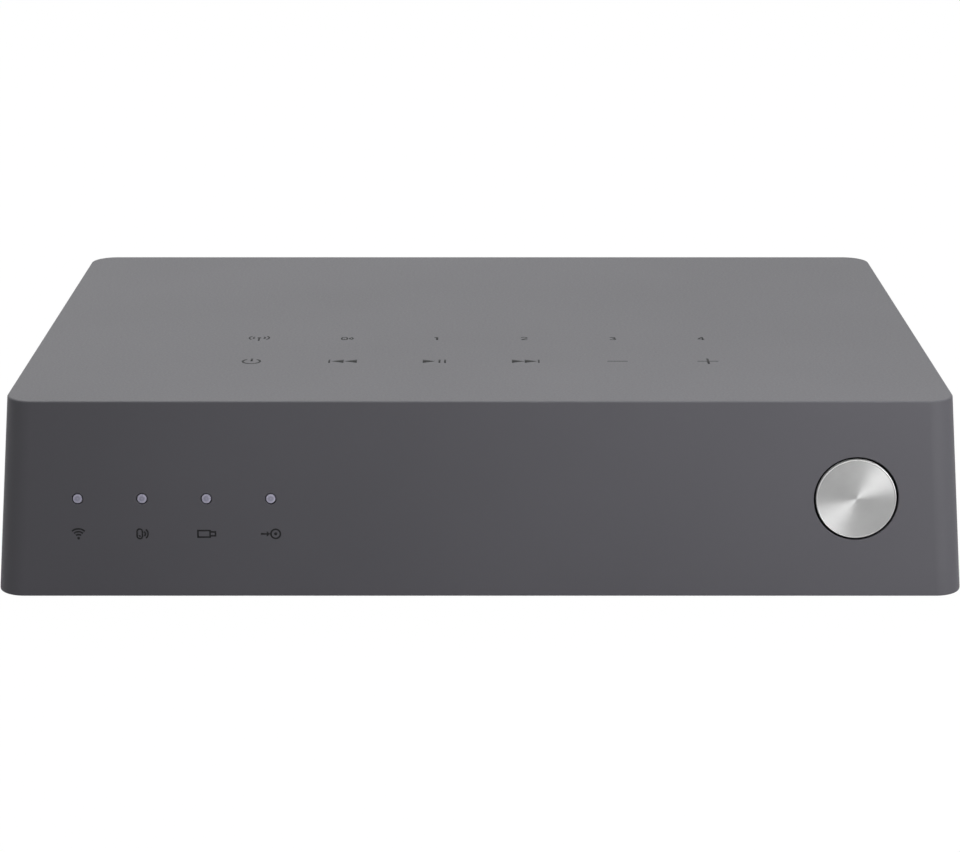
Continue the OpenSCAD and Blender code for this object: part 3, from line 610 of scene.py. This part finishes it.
def finish_nodes():
    """Gives every node of the construction model the finish of its slot in the record."""
    for row in frame["record"]["subparts"]:
        mesh = NODES[row["node"]].data
        mesh.materials.clear()
        mesh.materials.append(FINISHES[row["material_slot"]])


# Case

CORNER_STEPS = 25
SIDE_STEPS = 27
EDGE_STEPS = 9
LIP_STEPS = 6
BUTTON_LIP = 0.18 * mm
LIGHT_LIP = 0.08 * mm
WINDOW_LIP = 0.4 * mm
WINDOW_REACH = 10.5 * mm


def round_loop(half_x, half_y, radius, inset, slide=0.0):
    """Loops of a rectangle with round corners, one for each inset, as x and y of every point.

    Each corner is its centre plus a quarter turn of outward steps, and the sides are stepped evenly between
    the corners. The corner centres move in by the slide, and the radius shrinks by the rest of the inset.
    """
    radius, inset, slide = (np.reshape(value, (-1, 1, 1, 1)) for value in (radius, inset, slide))
    turn = np.linspace(0, np.pi / 2, CORNER_STEPS) + np.arange(4)[:, None] * np.pi / 2
    way_out = np.array([(1, 1), (-1, 1), (-1, -1), (1, -1)])[:, None, :]
    centre = way_out * (np.array([half_x, half_y]) - radius - slide)
    corners = centre + (radius + slide - inset) * np.stack([np.cos(turn), np.sin(turn)], axis=-1)
    share = np.linspace(0, 1, SIDE_STEPS + 2)[1:-1, None]
    sides = corners[:, :, -1:] * (1 - share) + np.roll(corners[:, :, :1], -1, axis=1) * share
    loops = np.concatenate([corners, sides], axis=2).reshape(len(corners), -1, 2)
    return loops[..., 0], loops[..., 1]


def shell_profile():
    """(inset, height) pairs of the shell's section, first of its inside and then of its outside.

    They run from the ceiling down the inner wall, round the rim by a quarter turn, up the outer wall,
    upright at its foot and then leaning, and over the top edge by nearly a quarter turn, to a top that
    leaves room for the printed ink.
    """
    ceiling = BODY_H - TOP_WALL
    inside = [
        (WALL + lean_at(ceiling), ceiling),
        (WALL + lean_at(RIM_R), RIM_R),
        (WALL - RIM_R, 0.0),
    ]
    turn = np.radians(np.linspace(0, 90, EDGE_STEPS))
    rim_z = RIM_R * (1 - np.cos(turn))
    rim = np.stack([RIM_R * (1 - np.sin(turn)) + outer_lean(rim_z), rim_z], axis=1)
    foot_end = [(outer_lean(UPRIGHT_H), UPRIGHT_H)]
    over = np.linspace(DRAFT, np.pi / 2, EDGE_STEPS)
    edge_z = BODY_H - PRINT_T - TOP_EDGE_R
    edge_in = lean_at(edge_z) + TOP_EDGE_R / math.cos(DRAFT)
    edge = np.stack([edge_in - TOP_EDGE_R * np.cos(over), edge_z + TOP_EDGE_R * np.sin(over)], axis=1)
    return np.array(inside), np.concatenate([rim, foot_end, edge])


def hole_cutter(centre, radius, lip):
    """Grid of a round cutter through the front wall that leaves a rounded lip at the face."""
    reach = 2 * WALL
    flare = arc((radius + lip, lip), -lip, 90, 0, LIP_STEPS)
    profile = [(0, -reach), (radius + lip, -reach), *flare, (radius, reach), (0, reach)]
    return turned(profile, centre, FACE_IN)


def window_cutter():
    """Grid of the rear window's cutter: a round-cornered loop that follows the leaning rear face.

    At the face it is wider by a lip, which goes over into the hole by a quarter turn.
    """
    turn = np.radians(np.linspace(90, 0, LIP_STEPS))
    flare_in = WINDOW_LIP - WINDOW_LIP * np.sin(turn)
    flare_out = WINDOW_LIP - WINDOW_LIP * np.cos(turn)
    depth = np.concatenate([[-WINDOW_REACH], flare_in, [2 * WALL + LEAN]])
    wider = np.concatenate([[WINDOW_LIP], flare_out, [0.0]])
    half_x = BODY_W / 2 - WINDOW_IN
    half_z = (WINDOW_HIGH - WINDOW_LOW) / 2
    x, z = round_loop(half_x, half_z, WINDOW_R, -wider)
    z = z + RIM_Z + (WINDOW_HIGH + WINDOW_LOW) / 2
    y = BODY_D / 2 - lean_at(z - RIM_Z) - depth[:, None]
    return np.stack([x, y, z], axis=-1)


def case_shell():
    """The grey moulding: its section carried round the case, with the button, light and window holes cut.

    Inside, the corners tighten towards the ceiling. Outside, they keep one radius and lean with the walls.
    """
    inside, outside = shell_profile()
    profile = np.concatenate([inside, outside])
    outer = np.arange(len(profile)) >= len(inside)
    radius = np.where(outer, OUTER_CORNER_R, CORNER_R)
    slide = np.where(outer, outer_lean(profile[:, 1]), 0.0)
    x, y = round_loop(BODY_W / 2, BODY_D / 2, radius, profile[:, 0], slide)
    z = np.broadcast_to(profile[:, 1:] + RIM_Z, x.shape)
    solid = Shape().grid(np.stack([x, y, z], axis=-1), wrap_columns=True, cap_rows=True)
    low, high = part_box("button_cap")
    button_hole_r = (high.x - low.x) / 2 + CAP_GAP
    button_place = on_face(node_middle("button_cap")[0], ROW_UP)
    holes = Shape().grid(window_cutter(), wrap_columns=True, cap_rows=True)
    holes.grid(hole_cutter(button_place, button_hole_r, BUTTON_LIP))
    for light_x in LIGHT_XS:
        holes.grid(hole_cutter(on_face(light_x, ROW_UP), LENS_R + LENS_GAP, LIGHT_LIP))
    mesh = carve(solid.mesh("case_shell"), holes.mesh("openings"))
    tidy_mesh(mesh)
    piece = show("case_shell", mesh, FINISHES["shell"], replaces=["upper_shell"])
    even_shading(piece)


# Posts inside the case, with the construction model's sizes

POST_STEPS = 48
POST_LIP = 0.2 * mm
POST_EDGE = 0.15 * mm
POST_SINK = 0.3 * mm
SEAT_GAP = 0.02 * mm
BASE_T = 2.4 * mm
BOSS_R = 3.4 * mm
BOSS_BORE_R = 1.5 * mm
BOSS_BORE_DEPTH = 10 * mm
FRONT_POST_R = 3 * mm
FRONT_POST_BORE_R = 1.15 * mm
FRONT_POST_BORE_DEPTH = 4 * mm
PANEL_POST_W = 8 * mm
BOSS_X = 90 * mm
BOSS_YS = [-44 * mm, 46 * mm]
FRONT_POST_XS = [-20 * mm, 40 * mm]
PANEL_POST_X = 80 * mm
PANEL_POST_Z = 27 * mm
PANEL_BACK_Y = 57.5 * mm


def bored_post(radius, bore, start, end, depth):
    """Profile of a round post with a blind bore from its start, bevelled at its mouth."""
    hole = [(0, start + depth), (bore, start + depth), (bore, start + POST_LIP), (bore + POST_LIP, start)]
    side = [(radius - POST_LIP, start), (radius, start + POST_LIP), (radius, end), (0, end)]
    return hole + side


def shell_posts():
    """Posts inside the shell, sunk a little into the wall that they grow from.

    Four round bosses carry the base, two round posts the front board and two square ones the rear panel.
    """
    ceiling = TOP_Z - TOP_WALL + POST_SINK
    base_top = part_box("base_plate")[0].z + BASE_T + SEAT_GAP
    boss = bored_post(BOSS_R, BOSS_BORE_R, base_top, ceiling, BOSS_BORE_DEPTH)
    posts = Shape()
    for x in (-BOSS_X, BOSS_X):
        for y in BOSS_YS:
            posts.grid(turned(boss, (x, y, 0), UP, POST_STEPS))
    board_corner = np.array(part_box("front_board")[0])
    seat = (board_corner - on_face(0, up_face(board_corner))) @ FACE_IN
    start = -seat + SEAT_GAP
    end = -WALL * math.cos(DRAFT) + POST_SINK
    post = bored_post(FRONT_POST_R, FRONT_POST_BORE_R, start, end, FRONT_POST_BORE_DEPTH)
    for x in FRONT_POST_XS:
        posts.grid(turned(post, on_face(x, ROW_UP), -FACE_IN, POST_STEPS))
    half = PANEL_POST_W / 2
    square = [(-half, -PANEL_POST_W), (half, -PANEL_POST_W), (half, 0), (-half, 0)]
    block = plate(square, PANEL_POST_Z - half, ceiling)
    for x in (-PANEL_POST_X, PANEL_POST_X):
        place = np.array([x, PANEL_BACK_Y - SEAT_GAP, 0])
        posts.grid(block + place, wrap_rows=True, cap_columns=True)
    piece = show("shell_posts", posts.mesh("shell_posts"), FINISHES["shell"])
    soft_edges(piece, POST_EDGE)


# Front button

CAP_BEVEL = 0.2 * mm
CAP_EASE = 0.02 * mm
CAP_DISH = 0.03 * mm
CAP_BACK_EDGE = 0.1 * mm
CAP_PROUD = 0.25 * mm
CAP_T = 1.4 * mm
FACE_STEPS = 40
BEVEL_STEPS = 8
CAP_STEPS = 160


def button_disc():
    """Spun disc: a faintly dished face, a round bevel, a straight wall and a flat back, carried round.

    The dish's depth falls with the square of the way out, and the bevel is nearly a quarter turn.
    """
    low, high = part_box("button_cap")
    radius = (high.x - low.x) / 2
    face_r = radius - CAP_BEVEL
    back_way = CAP_T - CAP_PROUD
    way = np.linspace(0, 1, FACE_STEPS)
    face = np.stack([face_r * way, -CAP_PROUD + CAP_DISH * (1 - way ** 2)], axis=1)
    bevel_centre = (face_r - CAP_EASE, CAP_BEVEL - CAP_PROUD)
    bevel = arc(bevel_centre, CAP_BEVEL + CAP_EASE, -88, -2, BEVEL_STEPS)
    back = [(radius, back_way - CAP_BACK_EDGE), (radius - CAP_BACK_EDGE, back_way), (0, back_way)]
    profile = np.concatenate([face, bevel, back])
    points = turned(profile, on_face(node_middle("button_cap")[0], ROW_UP), FACE_IN, CAP_STEPS)
    mesh = Shape().grid(points).mesh("button_disc")
    show("button_disc", mesh, FINISHES["cap_metal"], "front_button", ["button_cap"])


# Front lights

LENS_TIP = 0.1 * mm
LENS_BOW = 0.06 * mm
LENS_EDGE = 0.05 * mm
DOME_STEPS = 14
NECK_PAST_WALL = 0.5 * mm
PIPE_R = 1.3 * mm
PIPE_STEPS = 48
PIPE_END_GAP = 0.1 * mm
COLLAR_PAST_WALL = 6 * mm
COLLAR_T = 1 * mm
PIPE_COLLAR_R = 1.8 * mm


def light_windows():
    """Light pipes: a low domed lens, its narrow neck, the thick pipe and its collar, carried round.

    The dome falls back with the square of the way out.
    """
    neck = WALL + NECK_PAST_WALL
    collar = WALL + COLLAR_PAST_WALL
    collar_end = collar + COLLAR_T
    way = np.linspace(0, 1, DOME_STEPS)
    dome = np.stack([LENS_R * way, LENS_TIP + LENS_BOW * way ** 2], axis=1)
    for name, x in zip(PIPES, LIGHT_XS):
        low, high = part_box(name)
        end = (high.y - low.y) / FACE_IN[1] - PIPE_END_GAP
        stem = [(LENS_R, LENS_TIP + LENS_BOW + LENS_EDGE), (LENS_R, neck), (PIPE_R, neck), (PIPE_R, collar)]
        ring = [(PIPE_COLLAR_R, collar), (PIPE_COLLAR_R, collar_end), (PIPE_R, collar_end)]
        profile = np.concatenate([dome, stem, ring, [(PIPE_R, end), (0, end)]])
        points = turned(profile, on_face(x, ROW_UP), FACE_IN, PIPE_STEPS)
        mesh = Shape().grid(points).mesh("window_" + name)
        piece = show("window_" + name, mesh, FINISHES["lens"], replaces=[name])
        even_shading(piece)


# Printed marks, drawn in millimetres on a plane: x to the right, y ahead

INK_LOW = -0.005
INK_HIGH = PRINT_T / mm
BAR_EDGES = 4
STROKE = 0.36
BOLD = 0.46
BEND_ANGLE = 6
FEWEST_BENDS = 9
SPOT_STEPS = 24


def line(start, end, stroke=STROKE):
    """Straight stroke between two points."""
    return [swept_bar([start, end], stroke, INK_LOW, INK_HIGH)]


def bend(centre, radius, start, end, stroke=STROKE):
    """Stroke along an arc."""
    steps = max(FEWEST_BENDS, int(abs(end - start) / BEND_ANGLE))
    return [swept_bar(arc(centre, radius, start, end, steps), stroke, INK_LOW, INK_HIGH)]


def spot(centre, radius):
    """Round dot."""
    outline = arc(centre, radius, 0, 360 - 360 / SPOT_STEPS, SPOT_STEPS)
    return [plate(outline, INK_LOW, INK_HIGH)]


def area(*corners):
    """Flat patch with straight sides."""
    return [plate(corners, INK_LOW, INK_HIGH)]


def box(left, low, right, high):
    """Flat upright patch."""
    return area((left, low), (right, low), (right, high), (left, high))


def arrow_head(x, half, reach):
    """Triangle with its tip ahead of x by the reach, to the right where it is positive."""
    return area((x, -half), (x + reach, 0), (x, half))


def power_mark():
    """Open ring with an upright stroke in its gap."""
    return bend((-0.1, -0.1), 1.85, 125, 415, BOLD) + line((-0.1, 0), (-0.1, 2.2), BOLD)


def previous_mark():
    """Bar and two heads to the left."""
    return box(-3.15, -1.25, -2.8, 1.25) + arrow_head(0.1, 1.3, -2.6) + arrow_head(2.95, 1.3, -2.7)


def play_mark():
    """Head to the right and two bars."""
    return arrow_head(-2.5, 1.35, 2.7) + box(0.9, -1.3, 1.3, 1.3) + box(2.1, -1.3, 2.5, 1.3)


def next_mark():
    """Two heads to the right and a bar."""
    return arrow_head(-2.95, 1.3, 2.7) + arrow_head(-0.2, 1.3, 2.6) + box(2.65, -1.25, 3.0, 1.25)


def minus_mark():
    """Level stroke."""
    return line((-2.05, 0), (2.35, 0))


def plus_mark():
    """Two crossed strokes."""
    half = BOLD / 2
    return line((-2.3, 0), (-half, 0)) + line((half, 0), (2.2, 0)) + line((0, -2.2), (0, 2.2), BOLD)


def radio_mark():
    """Mast with a dot and a pair of arcs to each side."""
    strokes = line((0, -1.9), (0, 0.2)) + spot((0, 0.6), 0.42)
    for radius in (1.3, 2.2):
        strokes += bend((0, 0.6), radius, -42, 42) + bend((0, 0.6), radius, 138, 222)
    return strokes


def handset_mark():
    """Upright outline with round ends, a dot at its foot and two arcs beside it."""
    strokes = line((-1.25, -0.5), (-1.25, 0.5)) + line((-0.05, 0.5), (-0.05, -0.5))
    strokes += bend((-0.65, 0.5), 0.6, 0, 180) + bend((-0.65, -0.5), 0.6, 180, 360)
    strokes += spot((-0.65, -0.5), 0.22) + bend((-0.1, 0), 0.7, -50, 50) + bend((-0.1, 0), 1.3, -50, 50)
    return strokes


def fan_mark():
    """Dot under three widening arcs."""
    strokes = spot((0, -1.0), 0.3)
    for radius in (0.85, 1.5, 2.15):
        strokes += bend((0, -1.0), radius, 48, 132)
    return strokes


def stick_mark():
    """Lying memory stick: a block outline and its narrower end."""
    strokes = line((-2.0, -0.75), (0.7, -0.75)) + line((0.7, -0.93), (0.7, 0.93))
    strokes += line((0.7, 0.75), (-2.0, 0.75)) + line((-2.0, 0.93), (-2.0, -0.93))
    strokes += line((0.88, -0.45), (1.9, -0.45)) + line((0.88, 0.45), (1.9, 0.45))
    return strokes + line((1.9, -0.63), (1.9, 0.63))


def jack_mark():
    """Round socket with its centre, and an arrow into it."""
    strokes = bend((1.0, 0), 1.05, 0, 360) + spot((1.0, 0), 0.36) + line((-2.3, 0), (-1.0, 0))
    return strokes + arrow_head(-1.0, 0.62, 0.8)


def one_mark():
    """Figure one: a stem and its flag."""
    return line((0.3, -1.2), (0.3, 1.2), BOLD) + line((0.25, 1.1), (-0.3, 0.75))


def two_mark():
    """Figure two: a round head, a slanting stroke and a foot."""
    head = bend((0, 0.52), 0.6, 170, -35)
    return head + line((0.5, 0.18), (-0.58, -1.05)) + line((-0.7, -1.05), (0.7, -1.05))


def three_mark():
    """Figure three: two open rounds one over the other."""
    return bend((0, 0.6), 0.52, 155, -90) + bend((0, -0.52), 0.6, 90, -155)


def four_mark():
    """Figure four: a slanting stroke, a bar and a stem."""
    slant = line((0.3, 1.2), (-0.65, -0.45))
    return slant + line((-0.72, -0.5), (0.75, -0.5)) + line((0.36, 1.2), (0.36, -1.2))


KEY_PITCH = 19.6 * mm
KEY_FRONT_Y = -35.3 * mm
TOP_ROWS = [
    [power_mark, previous_mark, play_mark, next_mark, minus_mark, plus_mark],
    [radio_mark, handset_mark, one_mark, two_mark, three_mark, four_mark],
]
FRONT_ROW = [fan_mark, handset_mark, stick_mark, jack_mark]
LEGEND_UP = 13.3 * mm
LEGEND_SCALE = 0.92


def add_mark(shape, drawing, origin, ahead, up, scale=1.0):
    """Puts a drawing's bars and patches on a plane of the case."""
    drawn = Shape()
    for points in drawing:
        bars = points.shape[1] == BAR_EDGES
        drawn.grid(points * mm * scale, wrap_rows=not bars, wrap_columns=bars,
                   cap_rows=bars, cap_columns=not bars)
    shape.join(drawn.placed(origin, RIGHT, ahead, up))


def printed_marks():
    """Marks of the twelve touch fields on the top, and one sign under each light on the front."""
    top = Shape()
    for row, marks in enumerate(TOP_ROWS):
        middle = (len(marks) - 1) / 2
        for column, mark in enumerate(marks):
            place = [(column - middle) * KEY_PITCH, KEY_FRONT_Y + row * KEY_PITCH, TOP_Z - PRINT_T]
            add_mark(top, mark(), place, BACK, UP)
    show("top_marks", top.mesh("top_marks"), INK)
    front = Shape()
    for x, mark in zip(LIGHT_XS, FRONT_ROW):
        add_mark(front, mark(), on_face(x, LEGEND_UP), FACE_UP, -FACE_IN, LEGEND_SCALE)
    show("front_signs", front.mesh("front_signs"), INK)


# Feet

FOOT_COUNT = 4
FOOT_STEPS = 72
GROOVE_SHARE = 0.62
GROOVE_R = 0.35 * mm
SOLE_EDGE_R = 0.5 * mm


def rubber_feet():
    """Feet: a flat sole with a ring groove, a round lower edge and a straight side, carried round."""
    for number in range(1, FOOT_COUNT + 1):
        name = f"foot_{number}"
        low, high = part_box(name)
        radius = (high.x - low.x) / 2
        groove = arc((GROOVE_SHARE * radius, 0), GROOVE_R, 180, 0, EDGE_STEPS)
        edge = arc((radius - SOLE_EDGE_R, SOLE_EDGE_R), SOLE_EDGE_R, -90, 0, BEVEL_STEPS)
        profile = np.concatenate([[(0, 0)], groove, edge, [(radius, high.z), (0, high.z)]])
        middle = node_middle(name) * np.array([1, 1, 0])
        mesh = Shape().grid(turned(profile, middle, UP, FOOT_STEPS)).mesh("rubber_" + name)
        piece = show("rubber_" + name, mesh, FINISHES["rubber"], replaces=[name])
        even_shading(piece)


# Pieces that keep the construction model's shape, with softened edges

FLAT_ANGLE = math.radians(0.5)
SOFTENED = {
    "rear_panel": 0.25 * mm,
    "base_plate": 0.25 * mm,
    "network_shield": 0.08 * mm,
    "network_insert": 0.2 * mm,
    "memory_shell": 0.08 * mm,
    "memory_tongue": 0.05 * mm,
    "optical_socket": 0.2 * mm,
    "power_socket": 0.2 * mm,
    "power_pin": 0.2 * mm,
    "line_in_block": 0.2 * mm,
    "line_out_block": 0.2 * mm,
    "base_screws": 0.08 * mm,
    "panel_screws": 0.12 * mm,
    "line_insulators_left": 0.15 * mm,
    "line_insulators_right": 0.15 * mm,
    "line_sleeve_1": 0.15 * mm,
    "line_sleeve_2": 0.15 * mm,
    "line_sleeve_3": 0.15 * mm,
    "line_sleeve_4": 0.15 * mm,
    "optical_shutter": 0.08 * mm,
    "button_guide": 0.2 * mm,
}


def softened_pieces():
    """Copies of outer nodes with merged faces and rounded edges, each standing for its node."""
    slots = {row["node"]: row["material_slot"] for row in frame["record"]["subparts"]}
    for name, width in SOFTENED.items():
        mesh = NODES[name].data.copy()
        tidy_mesh(mesh, FLAT_ANGLE)
        slot = slots[name]
        piece = show("soft_" + name, mesh, FINISHES[slot], NODES[name]["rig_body"], [name])
        soft_edges(piece, width)


# Stage, light and camera

FLOOR_REACH = 6.0
FLOOR_DROP = 0.05 * mm
FLOOR_COLOUR = (0.09, 0.09, 0.09, 1)
FLOOR_GLOW = 1.06
FLOOR_WHITE_SHARE = 0.94
SKY_COLOUR = (1, 1, 1, 1)
SKY_LIGHT = 0.09
BARELY_WARM = (1.0, 1.025, 0.955)
SENSOR_W = 36
LENS_LENGTH = 98.96
CAMERA_PLACE = (0, -0.5833, 0.1881)
CAMERA_PITCH = math.radians(16.287)


def backdrop_share(tree):
    """1 for rays that see the background, straight, in a gloss or through glass, and 0 for others."""
    rays = tree.nodes.new("ShaderNodeLightPath")
    share = rays.outputs["Is Camera Ray"]
    for other in ("Is Glossy Ray", "Is Transmission Ray"):
        most = tree.nodes.new("ShaderNodeMath")
        most.operation = "MAXIMUM"
        tree.links.new(share, most.inputs[0])
        tree.links.new(rays.outputs[other], most.inputs[1])
        share = most.outputs["Value"]
    return share


def pale_floor():
    """Wide pale floor that looks white, still takes a faint shadow, and is seen through from below."""
    corners = FLOOR_REACH * np.array([(-1, -1, 0), (1, -1, 0), (1, 1, 0), (-1, 1, 0)])
    mesh = bpy.data.meshes.new("floor")
    mesh.from_pydata(corners.tolist(), [], [(0, 1, 2, 3)])
    floor = bpy.data.objects.new("floor", mesh)
    bpy.context.scene.collection.objects.link(floor)
    floor.location.z = -FLOOR_DROP
    floor.visible_shadow = False
    material = bpy.data.materials.new("pale_floor")
    material.use_nodes = True
    tree = material.node_tree
    tree.nodes.clear()
    matt = tree.nodes.new("ShaderNodeBsdfDiffuse")
    matt.inputs["Color"].default_value = FLOOR_COLOUR
    glow = tree.nodes.new("ShaderNodeEmission")
    glow.inputs["Strength"].default_value = FLOOR_GLOW
    share = tree.nodes.new("ShaderNodeMath")
    share.operation = "MULTIPLY"
    share.inputs[1].default_value = FLOOR_WHITE_SHARE
    lit = tree.nodes.new("ShaderNodeMixShader")
    clear = tree.nodes.new("ShaderNodeBsdfTransparent")
    side = tree.nodes.new("ShaderNodeNewGeometry")
    seen = tree.nodes.new("ShaderNodeMixShader")
    out = tree.nodes.new("ShaderNodeOutputMaterial")
    tree.links.new(backdrop_share(tree), share.inputs[0])
    tree.links.new(share.outputs["Value"], lit.inputs["Fac"])
    tree.links.new(matt.outputs["BSDF"], lit.inputs[1])
    tree.links.new(glow.outputs["Emission"], lit.inputs[2])
    tree.links.new(side.outputs["Backfacing"], seen.inputs["Fac"])
    tree.links.new(lit.outputs["Shader"], seen.inputs[1])
    tree.links.new(clear.outputs["BSDF"], seen.inputs[2])
    tree.links.new(seen.outputs["Shader"], out.inputs["Surface"])
    mesh.materials.append(material)


def white_world():
    """Even sky, white where it is seen, weak where it lights the object, and dark below the floor."""
    world = bpy.data.worlds.new("studio")
    bpy.context.scene.world = world
    world.use_nodes = True
    tree = world.node_tree
    sky = tree.nodes["Background"]
    sky.inputs["Color"].default_value = SKY_COLOUR
    place = tree.nodes.new("ShaderNodeTexCoord")
    height = tree.nodes.new("ShaderNodeSeparateXYZ")
    above = tree.nodes.new("ShaderNodeMath")
    above.operation = "GREATER_THAN"
    above.inputs[1].default_value = 0.0
    weak = tree.nodes.new("ShaderNodeMath")
    weak.operation = "MULTIPLY"
    weak.inputs[1].default_value = SKY_LIGHT
    strength = tree.nodes.new("ShaderNodeMath")
    strength.operation = "MAXIMUM"
    tree.links.new(place.outputs["Generated"], height.inputs["Vector"])
    tree.links.new(height.outputs["Z"], above.inputs[0])
    tree.links.new(above.outputs["Value"], weak.inputs[0])
    tree.links.new(weak.outputs["Value"], strength.inputs[0])
    tree.links.new(backdrop_share(tree), strength.inputs[1])
    tree.links.new(strength.outputs["Value"], sky.inputs["Strength"])


def soft_box(name, place, target, size, power, colour=(1, 1, 1)):
    """Rectangular soft light at a place, turned to a target, with its power in watts."""
    lamp = bpy.data.lights.new(name, "AREA")
    lamp.shape = "RECTANGLE"
    lamp.size, lamp.size_y = size
    lamp.energy = power
    lamp.color = colour
    light = bpy.data.objects.new(name, lamp)
    bpy.context.scene.collection.objects.link(light)
    light.location = place
    light.visible_camera = False
    light.rotation_euler = (Vector(target) - Vector(place)).to_track_quat("-Z", "Y").to_euler()


def studio_lights():
    """A wide overhead box, barely warm, a key and a strip to the right of the front, and three fills."""
    soft_box("overhead", (-0.02, 0.3, 1.1), (0, 0.05, 0), size=(1.2, 0.9), power=15.4, colour=BARELY_WARM)
    soft_box("key", (0.26, -0.29, 0.075), (0.05, -0.07, 0.02), size=(0.2, 0.2), power=0.74)
    soft_box("front_strip", (0.07, -0.16, 0.11), (0.05, -0.07, 0.03), size=(0.22, 0.03), power=0.066)
    soft_box("left_fill", (-0.6, -0.4, 0.25), (0, 0, 0.02), size=(0.8, 0.8), power=1.4)
    soft_box("rear_fill", (-0.3, 0.8, 1.0), (0, 0.05, 0.02), size=(0.5, 0.4), power=2)
    soft_box("under_fill", (0.0, 0.0, -0.7), (0, 0, 0), size=(0.12, 0.12), power=4)


def photo_camera():
    """Long lens in front of the object, a little above it and tilted down to it."""
    lens = bpy.data.cameras.new("camera")
    lens.sensor_width = SENSOR_W
    lens.lens = LENS_LENGTH
    camera = bpy.data.objects.new("camera", lens)
    bpy.context.scene.collection.objects.link(camera)
    camera.location = CAMERA_PLACE
    camera.rotation_euler = (math.pi / 2 - CAMERA_PITCH, 0, 0)
    bpy.context.scene.camera = camera


finish_nodes()
case_shell()
shell_posts()
button_disc()
light_windows()
printed_marks()
rubber_feet()
softened_pieces()
pale_floor()
white_world()
studio_lights()
photo_camera()
bpy.context.scene.view_settings.view_transform = "Standard"
